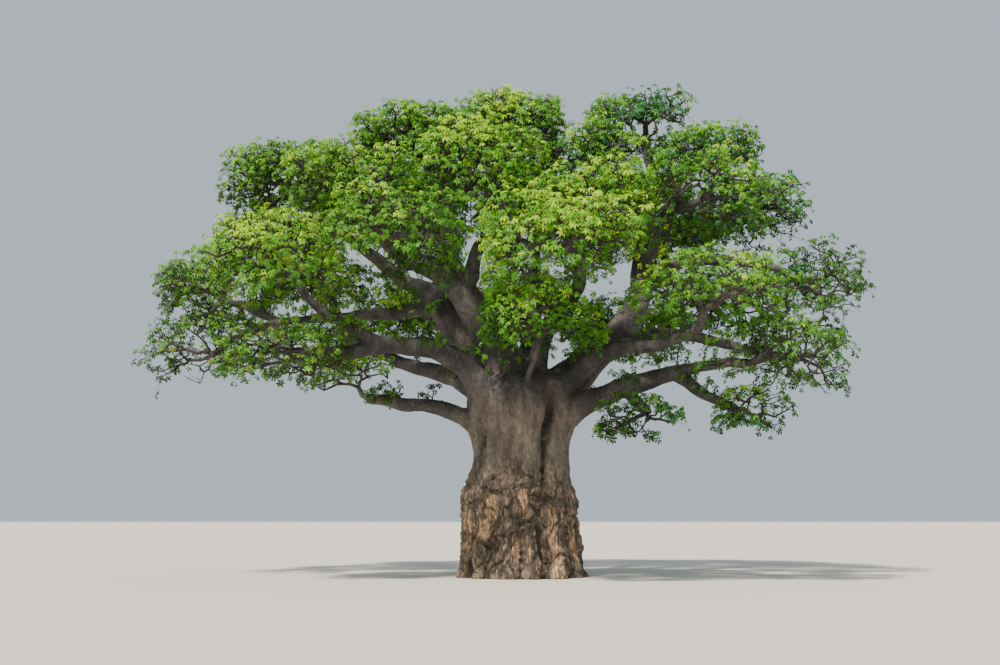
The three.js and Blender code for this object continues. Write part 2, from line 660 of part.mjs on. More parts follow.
// The rings of a stem, up to where its fork begins.
function stemRings({ curve, radiusAt, length, steps }, forkSize = 0) {
  const end = Math.max(LEAST_STEM_SHARE, 1 - forkSize / length);
  return Array.from({ length: steps + 1 }, (_, i) => {
    const share = (i / steps) * end;
    return ringAt(curve.getPointAt(share), curve.getTangentAt(share), radiusAt(share), STEM_SIDES);
  });
}

const stemSolids = (rings) => rings.slice(1).map((ring, i) => hullOf(rings[i], ring));

function massSolid(name, stem, obstacles) {
  const fork = stem.curve.getPointAt(1);
  const seats = seatSprays(name, fork, obstacles, seeded(name));
  const size = twigRadius(seats.length) * FORK_SIZE;
  const rings = stemRings(stem, size);
  const solids = stemSolids(rings);
  growFork(rings.at(-1), size, twigsFrom(fork, seats), obstacles, solids);
  return largest(wasm.Manifold.union(solids));
}

// Assembly
const tree = new THREE.Group();
tree.name = "baobab_tree";

const grownTrunk = trunkSolid(CLEARANCE);
tree.add(meshOf("trunk", trunkSolid(), BARK));

const grownLimbs = [grownTrunk];
for (const [name, spec] of Object.entries(LIMBS)) {
  addLimb(name, spec);
  let solid = limbTube(limbs[name]);
  for (const other of grownLimbs) if (boxesMeet(solid, other)) solid = solid.subtract(other);
  tree.add(meshOf(name, largest(solid), LIMB_BARK));
  grownLimbs.push(limbTube(limbs[name], CLEARANCE));
}

const limbSpaces = [trunkSolid(LIMB_GAP), ...Object.values(limbs).map((limb) => limbTube(limb, LIMB_GAP))];
const stems = Object.fromEntries(Object.keys(MASSES).map((name) => [name, stemOf(name)]));
const stemSpaces = Object.fromEntries(
  Object.entries(stems).map(([name, stem]) => [name, wasm.Manifold.union(stemSolids(stemRings(stem)))]),
);
for (const [name, stem] of Object.entries(stems)) {
  const otherStems = Object.keys(stems).filter((other) => other !== name);
  const solid = massSolid(name, stem, [...limbSpaces, ...otherStems.map((other) => stemSpaces[other])]);
  const clear = MASSES[name].root ? largest(solid.subtract(grownTrunk)) : solid;
  tree.add(meshOf(`leaves_${name}`, clear, LEAF));
}

export default tree;
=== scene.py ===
"""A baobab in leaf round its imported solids: folded bark, crooked boughs, forking twigs and hands of leaves.

Metres, +Z up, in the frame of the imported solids. Each operator makes one group of pieces, and main() calls
them in order.
"""

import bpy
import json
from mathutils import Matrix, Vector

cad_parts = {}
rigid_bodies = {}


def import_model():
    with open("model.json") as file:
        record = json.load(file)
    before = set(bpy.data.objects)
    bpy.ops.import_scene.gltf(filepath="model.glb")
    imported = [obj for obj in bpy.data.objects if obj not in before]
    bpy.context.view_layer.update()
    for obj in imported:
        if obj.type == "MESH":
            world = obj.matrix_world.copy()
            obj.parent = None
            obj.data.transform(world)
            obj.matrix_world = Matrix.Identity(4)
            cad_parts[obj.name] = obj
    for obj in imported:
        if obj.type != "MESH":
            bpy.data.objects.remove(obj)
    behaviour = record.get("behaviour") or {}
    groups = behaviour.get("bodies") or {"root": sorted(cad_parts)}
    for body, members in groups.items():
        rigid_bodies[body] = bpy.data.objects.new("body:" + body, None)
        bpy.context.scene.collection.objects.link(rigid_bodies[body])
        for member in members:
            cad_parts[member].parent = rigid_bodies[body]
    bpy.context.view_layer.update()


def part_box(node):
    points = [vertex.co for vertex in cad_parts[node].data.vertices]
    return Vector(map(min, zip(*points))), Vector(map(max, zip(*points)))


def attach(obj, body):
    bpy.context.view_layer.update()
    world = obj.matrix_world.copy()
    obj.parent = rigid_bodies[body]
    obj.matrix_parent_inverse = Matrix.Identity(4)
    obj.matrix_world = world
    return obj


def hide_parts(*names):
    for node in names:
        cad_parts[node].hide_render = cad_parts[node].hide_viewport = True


bl_info = {
    "name": "Baobab in Leaf",
    "version": (1, 0, 0),
    "blender": (4, 5, 0),
    "location": "3D View > Sidebar > Baobab",
    "description": "Grows the bark, branches, twigs and leaves of a baobab round its packed solids",
    "category": "Add Mesh",
}

import functools
import json
import math
from typing import NamedTuple

import bmesh
import bpy
import numpy as np
from mathutils import Matrix, Vector, noise

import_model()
BODY = "root"
UP = np.array((0.0, 0.0, 1.0))


# Colours and settings


def linear(colour):
    """A colour given as an sRGB hex value, in the linear light that shaders use, by sRGB's own curve."""
    channels = [int(colour[i : i + 2], 16) / 255 for i in (1, 3, 5)]
    return tuple(c / 12.92 if c <= 0.04045 else ((c + 0.055) / 1.055) ** 2.4 for c in channels)


def colour_setting(name, description, colour):
    """A colour that a user can change, with its default as an sRGB hex value."""
    return bpy.props.FloatVectorProperty(
        name=name, description=description, default=linear(colour), min=0, max=1, subtype="COLOR"
    )


def number_setting(name, description, default, **limits):
    """A number that a user can change."""
    return bpy.props.FloatProperty(name=name, description=description, default=default, **limits)


def count_setting(name, description, default, **limits):
    """A whole number that a user can change."""
    return bpy.props.IntProperty(name=name, description=description, default=default, **limits)


# The tree's own sizes, in metres


class Station(NamedTuple):
    """One height up the trunk, with its radius there and how far its middle stands towards +X."""

    height: float
    radius: float
    shift: float


STATIONS = [
    Station(0, 2.36, 0.04),
    Station(0.5, 2.26, 0.02),
    Station(1.6, 2.2, -0.02),
    Station(2.95, 2.1, -0.12),
    Station(3.55, 1.88, -0.06),
    Station(4.25, 1.76, 0),
    Station(4.9, 1.8, 0),
    Station(5.9, 1.98, 0.05),
    Station(6.9, 1.86, 0.05),
    Station(7.5, 1, 0),
]
TRUNK_TOP = 7.75


class Fold(NamedTuple):
    """A fold down the trunk: turn and width in degrees, depth as a share of the radius, and its heights."""

    turn: float
    width: float
    depth: float
    low: float
    high: float


# Turns count from +X towards +Y, so that 270 faces the viewer
FOLDS = [
    Fold(302, 8, 0.17, 3.6, 7.2),
    Fold(295, 7, 0.16, -1, 2.7),
    Fold(243, 8, 0.13, -1, 4.3),
    Fold(270, 7, 0.07, -1, 2.4),
    Fold(219, 8, 0.1, 4.1, 6.6),
    Fold(212, 8, 0.12, -1, 2.6),
    Fold(327, 8, 0.1, -1, 3.1),
    Fold(171, 9, 0.12, -1, 4.6),
    Fold(147, 8, 0.11, -1, 3.2),
    Fold(118, 9, 0.15, -1, 6.8),
    Fold(84, 8, 0.12, -1, 3.0),
    Fold(52, 9, 0.15, -1, 6.2),
    Fold(14, 9, 0.12, -1, 3.8),
]
FOLD_FADE = 0.9  # how far each side of its two ends a fold fades


class Limb(NamedTuple):
    """A bough: its parent and where it leaves it, the places it runs through, and its radii and collar."""

    parent: str
    at: float
    places: list
    root: float
    tip: float
    collar: float = 0.45


LIMBS = {
    "leader_left": Limb("trunk", 6.3, [(-1.75, 0.35, 8.6), (-3.35, 1.15, 10.5)], 0.82, 0.58),
    "leader_centre": Limb(
        "trunk", 6.6, [(-1.3, -0.5, 8.95), (-2.6, -0.75, 11.2), (-2.75, -0.3, 13.9)], 0.8, 0.27, 0.9
    ),
    "leader_right": Limb(
        "trunk", 5.9, [(2.35, 0.15, 7.65), (4.1, 0.3, 9.6), (4.95, 0.8, 14.3)], 0.72, 0.24, 0.7
    ),
    "bough_left_low": Limb("trunk", 4.9, [(-2.7, -0.5, 5.95), (-5.45, -1.2, 6.3)], 0.33, 0.2, 1),
    "bough_left_mid": Limb(
        "trunk", 5.9, [(-2.55, -1.75, 7.75), (-4.2, -2.7, 8.05), (-6, -3.9, 7.6)], 0.5, 0.24, 0.8
    ),
    "bough_left_front": Limb("bough_left_mid", 0.8, [(-6.1, -4.1, 8.6), (-7, -4.7, 9.2)], 0.2, 0.15),
    "bough_left_rear": Limb(
        "trunk", 5.8, [(-2.3, 1.5, 7.2), (-4.5, 3.6, 8.1), (-6.3, 4.9, 8.9)], 0.42, 0.2
    ),
    "bough_left_long": Limb(
        "leader_left", 0.8, [(-4.4, 0.95, 9.75), (-6.6, 0.5, 9.45), (-8.5, 0.2, 9.3)], 0.27, 0.17
    ),
    "bough_left_rising": Limb("leader_left", 0.96, [(-4.6, 1.1, 11.2), (-6.4, 0.6, 12.5)], 0.3, 0.18),
    "bough_upper_left": Limb("leader_centre", 0.55, [(-3.9, -2, 11), (-4.9, -3.6, 11.6)], 0.22, 0.15),
    "bough_upper_front": Limb("leader_centre", 0.5, [(-1.55, -1.5, 11.6), (-0.4, -3, 12.5)], 0.28, 0.17),
    "bough_front": Limb("trunk", 6.5, [(1, -0.95, 8.9), (1.9, -2.3, 10), (1.9, -5.2, 10.6)], 0.36, 0.17),
    "bough_right_low": Limb(
        "trunk", 5.2, [(2.8, -1.05, 6.35), (4.3, -1.9, 6.85), (5.75, -2.6, 7.2)], 0.46, 0.26, 1.9
    ),
    "bough_right_drooping": Limb(
        "bough_right_low", 0.93, [(6.2, -2.85, 6.35), (7.2, -3.25, 5.8)], 0.21, 0.15
    ),
    "bough_right_under": Limb("bough_right_low", 0.6, [(4.2, -2.15, 6), (4.35, -2.4, 5.75)], 0.19, 0.15),
    "bough_right_mid": Limb("trunk", 5.9, [(3, -1.7, 7.9), (4.6, -3.2, 8), (5.6, -4.6, 8.2)], 0.42, 0.18),
    "bough_right_outer": Limb("leader_right", 0.4, [(5.7, -0.7, 8.65), (7.9, -1.4, 8.1)], 0.27, 0.16),
    "bough_right_long": Limb("leader_right", 0.63, [(6.5, -0.2, 11.5), (8.9, -0.8, 11.1)], 0.24, 0.14),
    "bough_right_high": Limb("leader_right", 0.7, [(5.9, 1.1, 12.85), (7.1, 1.6, 13.3)], 0.23, 0.16),
    "bough_right_front": Limb("leader_right", 0.66, [(4.9, -1.2, 12), (4.9, -2.9, 12.6)], 0.22, 0.15),
    "bough_right_back": Limb("leader_right", 0.55, [(5.2, 2.4, 11.2), (5.9, 4, 11.6)], 0.26, 0.17),
    "bough_rear_left": Limb("trunk", 6.1, [(-1.5, 2.2, 7.9), (-2.6, 4.2, 9.2), (-3.4, 5.8, 10)], 0.5, 0.2),
    "bough_rear": Limb("trunk", 6.4, [(0.45, 1.4, 8.9), (0.7, 4.4, 11.7)], 0.52, 0.22),
    "bough_rear_right": Limb("trunk", 5.8, [(2.1, 2, 7.4), (3.5, 4, 8.4), (4.6, 5.8, 9.1)], 0.5, 0.2),
}
ROOT_ASIDE = 0.45  # how far from the trunk's middle a bough starts
COLLAR_LENGTH = 0.5  # how far a thin bough's collar reaches along it


class Mass(NamedTuple):
    """A mass of foliage: its limb, middle, half sizes and region, and how full, young, cool and bare it is.

    Full is its number of tufts, to the usual number. Young makes its leaves younger, cool is the share of
    bluish ones, and bare is the share of its tufts that have lost their leaves.
    """

    limb: str
    middle: tuple
    half: tuple
    region: str
    full: float = 1.0
    young: float = 0.0
    cool: float = 0.0
    bare: float = 0.03


MASSES = {
    "leaves_left_low": Mass(
        "bough_left_long", (-11.7, -0.6, 7.8), (2.3, 2.7, 1.5), "left", 0.42, -0.22, 0, 0.1
    ),
    "leaves_left_tip": Mass("bough_left_long", (-11.1, 0.6, 10.3), (2.6, 3, 1.9), "left", 0.65, -0.02),
    "leaves_left_lobe": Mass("bough_left_rising", (-9.2, -0.7, 11.8), (2.8, 3.15, 1.5), "left", 0.68, 0.12),
    "leaves_left_front_low": Mass(
        "bough_left_mid", (-8, -5, 7.5), (2.7, 2.85, 1.5), "left", 0.4, -0.15, 0, 0.1
    ),
    "leaves_left_front": Mass("bough_left_front", (-7.9, -5.4, 10.4), (3.1, 3.15, 1.8), "left", 0.7, 0.12),
    "leaves_left_rear_low": Mass("bough_left_rear", (-8.5, 6.4, 8.5), (3, 3.15, 1.7), "rear", 0.35, -0.1),
    "leaves_left_rear": Mass("bough_left_rear", (-8.1, 5.7, 11.8), (3.1, 3.25, 1.9), "rear", 0.7),
    "leaves_left_twiggy": Mass(
        "bough_left_low", (-6.1, -1.6, 7.1), (1.8, 2, 1.2), "left", 0.25, 0.1, 0, 0.3
    ),
    "leaves_upper_left": Mass("bough_left_rising", (-8.2, 0.9, 14.55), (3.1, 3.35, 2), "top", 1, 0.08),
    "leaves_upper_left_front": Mass(
        "bough_upper_left", (-5.4, -3.9, 13.2), (3.1, 3.15, 2), "front", 0.85, 0.04
    ),
    "leaves_upper_left_rear": Mass("leader_centre", (-4.7, 5.2, 14.4), (3.1, 3.25, 2), "rear"),
    "leaves_top_left": Mass("leader_centre", (-3.8, 0.6, 15.9), (3.3, 3.45, 1.6), "top", 1, 0.1),
    "leaves_top": Mass("leader_centre", (-0.3, 0.6, 16.3), (3.3, 3.5, 1.65), "top", 1, 0.1),
    "leaves_top_rear": Mass("bough_rear", (0.9, 5.2, 14.8), (3.1, 3.25, 2), "rear"),
    "leaves_top_front": Mass("bough_upper_front", (-1.6, -4.1, 13.4), (3, 3.05, 2.3), "front", 1, 0.1),
    "leaves_front_left": Mass("bough_upper_left", (-4.2, -7.2, 11), (3, 2.85, 1.6), "front", 0.65, -0.05),
    "leaves_front": Mass("bough_front", (1, -8.2, 10.5), (3.1, 2.85, 1.7), "front", 0.85, 0.16),
    "leaves_front_high": Mass("bough_upper_front", (2.5, -5.3, 12.2), (2.9, 2.95, 1.8), "front", 1, 0.12),
    "leaves_front_right": Mass("bough_right_mid", (6, -6.9, 9.3), (2.8, 2.95, 1.5), "front", 0.5, -0.03),
    "leaves_inner_front": Mass("trunk", (0.8, -3.3, 8.8), (2.6, 1.9, 1.6), "inner", 1.1, 0.08),
    "leaves_right_front_low": Mass(
        "bough_right_low", (8.4, -4.9, 7.3), (2.8, 2.95, 1.7), "right", 0.43, -0.22, 0, 0.15
    ),
    "leaves_right_front": Mass(
        "bough_right_front", (6, -4.4, 12.8), (2.9, 2.95, 1.8), "right", 0.6, -0.02, 0.2
    ),
    "leaves_right_low": Mass(
        "bough_right_outer", (10.5, -1.2, 7.5), (2.6, 2.7, 1.6), "right", 0.34, -0.18, 0.1, 0.3
    ),
    "leaves_right_tip": Mass(
        "bough_right_long", (10.8, -0.8, 10.4), (2.3, 2.8, 2), "right", 0.68, -0.18, 0.2, 0.12
    ),
    "leaves_right_hanging": Mass(
        "bough_right_drooping", (8, -3.6, 5.7), (1.8, 2, 1), "right", 0.45, -0.14, 0.3
    ),
    "leaves_right_under": Mass(
        "bough_right_under", (4, -2.9, 5.4), (1.8, 1.9, 1), "right", 0.45, -0.14, 0.3
    ),
    "leaves_right_high": Mass(
        "bough_right_high", (8.3, 1, 13.55), (2.8, 3.15, 1.9), "right", 0.66, -0.05, 0.3
    ),
    "leaves_right_rear": Mass(
        "bough_right_back", (8.2, 6.3, 10.6), (3.1, 3.25, 2.1), "rear", 0.55, -0.05, 0.2
    ),
    "leaves_upper_right": Mass(
        "leader_right", (6.8, -0.1, 15.05), (2.8, 3.15, 1.65), "top", 0.7, 0.03, 0.35
    ),
    "leaves_dome": Mass("leader_right", (4.6, 0.9, 16.95), (2.5, 2.75, 1.5), "top", 0.58, -0.1, 0.75),
    "leaves_upper_right_mid": Mass(
        "leader_right", (2.7, -0.6, 14.8), (2.3, 3.15, 1.7), "top", 0.62, 0, 0.3
    ),
    "leaves_upper_right_rear": Mass(
        "bough_right_back", (5.6, 5.2, 13.8), (3, 3.15, 2), "rear", 0.75, 0, 0.3
    ),
    "leaves_rear": Mass("bough_rear", (0.2, 9.3, 11), (3.1, 3.05, 1.9), "rear"),
    "leaves_rear_left": Mass("bough_rear_left", (-4.6, 9.1, 10.6), (3, 3.05, 1.9), "rear"),
    "leaves_rear_right": Mass("bough_rear_right", (4.9, 9.3, 9.9), (3.1, 3.05, 1.9), "rear"),
}
REGIONS = ("left", "right", "front", "top", "rear", "inner")
# The stem of the one mass that grows from the trunk
TRUNK_STEM_ROOT = (0.1, -1.2, 6.7)
TRUNK_STEM_WAY = (0, -1, 0)
TRUNK_STEM_RADIUS = 0.11

# How branches grow
STEM_END = 0.4  # how far from a mass's middle its stem forks, as a share of its half size
STEM_LEAD = 0.4  # how far a stem runs straight out before it bends, as a share of its reach
FORK_REACH = 0.5  # how far a branch runs towards the middle of what it feeds before it forks
FAN = 4  # up to this many tips are fed by twigs straight from one fork
PIPE_POWER = 2.4  # a twig's radius to this power is shared among the twigs that it feeds
STEM_POINTS = 16
STEM_CROOK = 0.18  # how far a stem bends aside
STEM_PITCH = 0.9  # how far apart its bends are
STEM_SWELL = 1.25  # a stem's thickness where it leaves its limb, to that where it forks
BRANCH_TAPER = 0.85  # a branch's radius at its end, to that at its start
BRANCH_SPEED = 0.9  # how far a branch keeps to the way it leaves and arrives, as a share of its reach
BRANCH_BOW = 0.08  # how far a branch bows aside, as a share of its reach
BRANCH_KINK = 0.035  # how far each joint of a branch stands aside, as a share of its reach
BRANCH_STEP = 0.35  # a long branch has a joint this often
BRANCH_JOINTS = (2, 6)  # the fewest and the most
FORK_SCATTER = 0.02  # how unevenly twigs fork

# Where tufts of leaves sit
SHELL_DEPTH = 0.3  # the inside of a mass, as a share of its volume's radius squared, where no tuft sits
TUFT_SPREAD = (0.6, 1.3)  # the smallest and largest tuft, to a middling one
TUFT_AREA = 9  # the half widths of a middling mass, multiplied
CANOPY = 0.15  # tufts that face up more than this may close over the parting between two masses
LEAST_PARTING = 0.15  # how far even those stay from the border
FACE_OUT, FACE_UP = 0.55, 0.8  # how far a tuft faces outwards, and up
HUB_DEPTH = 0.55  # how far inside its middle a tuft forks, in radii
RIM_DROP, CROWN_RISE = 0.42, 0.18  # how far a tuft's rim hangs and its middle stands, in radii
TUFT_LOBES = ((0.28, 3), (0.16, 5))  # how far a tuft's rim waves in and out, and how many times round it
LOBE_START = (0, 6)  # where round a tuft its waves may start, in radians
INNERMOST_HAND = 0.02  # how near its middle a tuft has hands, as a share of its radius squared
HAND_COUNT = (0.8, 1.2)  # the fewest and the most hands in a tuft, to the usual number
HAND_SCATTER = 0.15  # how far hands stand out of a tuft's dish
HAND_OUT, HAND_UP, HAND_TILT = 0.5, 0.8, 0.25  # which way a hand of leaves faces, and how unevenly
LEAST_HANDS = 4  # a tuft with fewer isn't grown
BARE_SHARE = 2  # a mass's bare tufts all stand on its outer half, where they are twice as many
STRAY_UP = 0.4  # how far a hand may stray upwards, to how far it may stray elsewhere
BOXINESS = 4  # a mass's reach is an egg at 2 and a box at high powers
LIMB_SAMPLES = 24  # places along a limb that are kept clear of hands

# Leafy shoots on the limbs
SHOOT_START = 0.25  # where along a limb its shoots begin
SHOOT_RISE = 1.0  # how far a shoot turns up, to how far it stands aside
SHOOT_SIZE = (0.3, 0.55)
SHOOT_LENGTH = (0.2, 0.55)
SHOOT_ROOM = 0.06  # clear space between a shoot's leaves and the limbs
SHOOT_ROOT = 0.8  # how far out from a limb's middle a shoot starts, in radii

SEED = 7


# Lines and growth

TINY = 1e-9  # stands in for the length of a vector that has none
LINE_JOINTS = 20  # between one place that a limb runs through and the next
WAY_STEP = 0.01  # how far each side of a place a line is read for its direction, as a share of its length
ENDS_HELD = 4  # a crooked line is held back over its first and last quarter
STEEP = 0.9  # a way more upright than this is squared against +X instead of +Z


def unit(way):
    """The direction of a vector, or of each vector in an array."""
    length = np.linalg.norm(way, axis=-1, keepdims=True)
    return way / np.maximum(length, TINY)


def smoothstep(low, high, value):
    """0 up to low and 1 from high on, with a soft rise between them."""
    share = np.clip((value - low) / (high - low), 0, 1)
    return share * share * (3 - 2 * share)


def wander(points):
    """A push for each point that changes slowly from place to place, the same in every run."""
    noise.seed_set(SEED)
    return np.array([noise.noise_vector(Vector(point)) for point in points])


class Line:
    """A curve as a fine polyline, read by the share of its length."""

    def __init__(self, points):
        self.points = np.array(points, float)
        steps = np.linalg.norm(np.diff(self.points, axis=0), axis=1)
        self.along = np.concatenate(([0], np.cumsum(steps)))
        self.length = self.along[-1]

    def at(self, share):
        """The place at a share of the length, or at each of several."""
        distance = np.clip(share, 0, 1) * self.length
        return np.stack([np.interp(distance, self.along, axis) for axis in self.points.T], axis=-1)

    def way(self, share):
        """The direction in which the line runs there."""
        return unit(self.at(share + WAY_STEP) - self.at(share - WAY_STEP))


def hermite(start, end, leave, arrive, steps):
    """Points from start towards end, with the given speeds at each, the end itself left out."""
    t = np.linspace(0, 1, steps, endpoint=False)[:, None]
    start_share = 2 * t**3 - 3 * t**2 + 1
    leave_share = t**3 - 2 * t**2 + t
    arrive_share = t**3 - t**2
    return start_share * start + (1 - start_share) * end + leave_share * leave + arrive_share * arrive


def line_through(places):
    """A centripetal Catmull-Rom curve, which the solids' limbs follow too."""
    places = [np.array(place, float) for place in places]
    ends = [2 * places[0] - places[1], *places, 2 * places[-1] - places[-2]]
    points = []
    for before, start, end, after in zip(ends, ends[1:], ends[2:], ends[3:]):
        gaps = (math.dist(a, b) ** 0.5 for a, b in ((before, start), (start, end), (end, after)))
        first, middle, last = gaps
        leave = (start - before) / first - (end - before) / (first + middle) + (end - start) / middle
        arrive = (end - start) / middle - (after - start) / (middle + last) + (after - end) / last
        points.extend(hermite(start, end, leave * middle, arrive * middle, LINE_JOINTS))
    return Line([*points, places[-1]])


def crooked(line, amount, pitch):
    """A line bent aside by noise of that pitch, with both ends left where they are."""
    shares = line.along / line.length
    held = np.minimum(1, ENDS_HELD * np.minimum(shares, 1 - shares))
    aside = wander(line.points / pitch)
    return Line(line.points + aside * (amount * held)[:, None])


@functools.cache
def limb_lines():
    """The middle line of each limb."""
    lines = {}
    for name, limb in LIMBS.items():
        if limb.parent == "trunk":
            side = unit(np.array(limb.places[0], float) * (1, 1, 0))
            start = side * ROOT_ASIDE + UP * limb.at
        else:
            start = lines[limb.parent].at(limb.at)
        lines[name] = line_through([start, *limb.places])
    return lines


def limb_radius(name, share):
    """A limb's radius at a share of its length: an even taper, swollen by the collar at its root."""
    limb = LIMBS[name]
    length = limb_lines()[name].length
    swell = 1 + limb.collar * np.exp(-share * length / (COLLAR_LENGTH + limb.root))
    return (limb.root + (limb.tip - limb.root) * share) * swell


def pipe_radius(tips, twig):
    """The radius of a branch that feeds that many tips."""
    return twig * tips ** (1 / PIPE_POWER)


def cell_planes(name):
    """The planes between a mass and its neighbours: a direction out, and how far along it the mass ends."""
    mass = MASSES[name]
    middle, half = np.array(mass.middle), np.array(mass.half)
    planes = []
    for other in MASSES.values():
        apart = np.array(other.middle) - middle
        distance = np.linalg.norm(apart)
        if distance == 0:
            continue
        way = apart / distance
        mine = np.linalg.norm(half * way)
        theirs = np.linalg.norm(np.array(other.half) * way)
        if mine + theirs > distance:
            planes.append((way, middle @ way + distance * mine / (mine + theirs)))
    return planes


class Tuft(NamedTuple):
    """A tuft of a mass: where it forks, the way it faces, where its leaf hands sit, and if it has leaves."""

    hub: np.ndarray
    face: np.ndarray
    hands: np.ndarray
    leafy: bool


def clear_of_limbs(points, room):
    """Which of the points stand at least that far outside every limb."""
    clear = np.ones(len(points), bool)
    for name, line in limb_lines().items():
        shares = np.linspace(0, 1, LIMB_SAMPLES)
        away = np.linalg.norm(points[:, None] - line.at(shares)[None], axis=2)
        clear &= (away - limb_radius(name, shares)[None]).min(axis=1) > room
    return clear


def tuft_places(mass, planes, sizes, rng):
    """Middles, outward ways and radii for tufts: darts thrown at the mass's shell that land apart."""
    middle, half = np.array(mass.middle), np.array(mass.half)
    up = rng.uniform(sizes.lowest, 1, sizes.darts)
    turn = rng.uniform(0, 2 * math.pi, sizes.darts)
    flat = np.sqrt(1 - up * up)
    ways = np.stack((flat * np.cos(turn), flat * np.sin(turn), up), axis=1)
    depth = np.sqrt(rng.uniform(SHELL_DEPTH, 1, (sizes.darts, 1)))
    places = middle + ways * half * depth
    radii = sizes.tuft_radius * rng.uniform(*TUFT_SPREAD, sizes.darts)
    room = np.full(sizes.darts, np.inf)
    for way, far in planes:
        room = np.minimum(room, far - places @ way)
    landed = np.flatnonzero((room > LEAST_PARTING) & ((room > sizes.parting) | (up > CANOPY)))
    wanted = round(sizes.tufts * mass.full * half[0] * half[1] / TUFT_AREA)
    chosen = []
    for dart in landed:
        if len(chosen) >= wanted:
            break
        away = np.linalg.norm(places[chosen] - places[dart], axis=1)
        if away.size and away.min() < sizes.spacing * radii[dart]:
            continue
        chosen.append(dart)
    return places[chosen], ways[chosen], radii[chosen]


def tufts_of(name, sizes, rng):
    """The tufts of a mass, each an uneven dish of leaf hands that keeps to the mass's own reach."""
    mass = MASSES[name]
    low, high = (np.array(corner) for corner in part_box(name))
    tufts = []
    for place, way, radius in zip(*tuft_places(mass, cell_planes(name), sizes, rng)):
        face = unit(way * FACE_OUT + UP * FACE_UP)
        hands = hands_of_tuft(place, face, radius, sizes, rng)
        off = (hands - (low + high) / 2) / ((high - low) / 2 + sizes.stray)
        reached = np.sum(np.abs(off) ** BOXINESS, axis=1) < 1
        reached &= np.all(hands < high + sizes.stray * STRAY_UP, axis=1)
        hands = hands[reached & clear_of_limbs(hands, sizes.limb_room)]
        if len(hands) < LEAST_HANDS:
            continue
        hub = place - unit(face + way) * radius * HUB_DEPTH
        outer = math.hypot(*place[:2]) > math.hypot(*mass.middle[:2])
        leafy = rng.uniform() > BARE_SHARE * mass.bare * outer
        tufts.append(Tuft(hub, face, hands, leafy))
    return tufts


def frame_of(face):
    """Two directions square to each face and to each other."""
    steady = np.where(np.abs(face[..., 2:]) > STEEP, np.array((1.0, 0, 0)), UP)
    across = unit(np.cross(steady, face))
    return across, np.cross(face, across)


def hands_of_tuft(place, face, radius, sizes, rng):
    """Where the leaf hands of a tuft sit: over a dish whose rim is uneven, hanging lower towards the rim."""
    area = (radius / sizes.tuft_radius) ** 2
    count = max(LEAST_HANDS, round(sizes.hands * area * rng.uniform(*HAND_COUNT)))
    turn = rng.uniform(0, 2 * math.pi, count)
    rim = np.ones(count)
    for depth, lobes in TUFT_LOBES:
        rim = rim + depth * np.sin(turn * lobes + rng.uniform(*LOBE_START))
    out = np.sqrt(rng.uniform(INNERMOST_HAND, 1, count)) * rim
    across, over = frame_of(face)
    drop = radius * (RIM_DROP * out**2 - CROWN_RISE) + rng.normal(0, HAND_SCATTER, count)
    flat = across[None] * np.cos(turn)[:, None] + over[None] * np.sin(turn)[:, None]
    return place + flat * (out * radius)[:, None] - face[None] * drop[:, None]


class Growth:
    """What grows from a limb: stems and branches with their radii, last twigs by their ends, leaf hands."""

    def __init__(self):
        self.branches = []
        self.twigs = []
        self.hands = []
        self.stems = []


def split_group(places):
    """The indices of the places in two halves, parted across their widest spread."""
    middle = places.mean(axis=0)
    edge = places[np.argmax(np.linalg.norm(places - middle, axis=1))]
    across = places[np.argmax(np.linalg.norm(places - edge, axis=1))] - edge
    order = np.argsort(places @ across)
    half = (len(places) + 1) // 2
    return order[:half], order[half:]


def bent_branch(start, leave, end, arrive, radii, rng):
    """A branch that leaves and arrives along the given ways, bowed a little aside."""
    reach = np.linalg.norm(end - start)
    fewest, most = BRANCH_JOINTS
    steps = max(fewest, min(most, round(reach / BRANCH_STEP)))
    points = hermite(start, end, leave * reach * BRANCH_SPEED, arrive * reach * BRANCH_SPEED, steps)
    points = np.concatenate((points, end[None]))
    shares = np.linspace(0, 1, len(points))
    aside = rng.normal(0, BRANCH_BOW * reach, 3)
    points += np.sin(shares * math.pi)[:, None] * aside
    points[1:-1] += rng.normal(0, BRANCH_KINK * reach, points[1:-1].shape)
    return points, np.interp(shares, (0, 1), radii)


def grow_tufts(growth, start, way, tufts, sizes, rng):
    """Branches that fork by halving from start until each feeds one tuft, then its twigs."""
    if len(tufts) == 1:
        grow_tuft(growth, start, way, tufts[0], sizes, rng)
        return
    places = np.array([tuft.hub for tuft in tufts])
    for part in split_group(places):
        group = [tufts[i] for i in part]
        if len(group) == 1:
            grow_tuft(growth, start, way, group[0], sizes, rng)
            continue
        goal = places[part].mean(axis=0)
        end = start + (goal - start) * FORK_REACH
        arrive = unit(goal - start)
        radius = pipe_radius(sum(len(tuft.hands) for tuft in group), sizes.twig_radius)
        radii = (radius, radius * BRANCH_TAPER)
        growth.branches.append(bent_branch(start, unit(way + arrive), end, arrive, radii, rng))
        grow_tufts(growth, end, arrive, group, sizes, rng)


def grow_tuft(growth, start, way, tuft, sizes, rng):
    """The branch to a tuft's hub, and the twigs that fork by halving from it to each leaf hand."""
    run = unit(tuft.hub - start)
    radius = pipe_radius(len(tuft.hands), sizes.twig_radius)
    radii = (radius, radius * BRANCH_TAPER)
    arrive = unit(tuft.face + run)
    growth.branches.append(bent_branch(start, unit(way + run), tuft.hub, arrive, radii, rng))
    grow_twigs(growth, tuft.hub, tuft.hands, sizes, rng)
    if not tuft.leafy:
        return
    outward = unit(tuft.hands - tuft.hub)
    face = unit(outward * HAND_OUT + tuft.face * HAND_UP + rng.normal(0, HAND_TILT, tuft.hands.shape))
    growth.hands.append(np.concatenate((tuft.hands, face), axis=1))


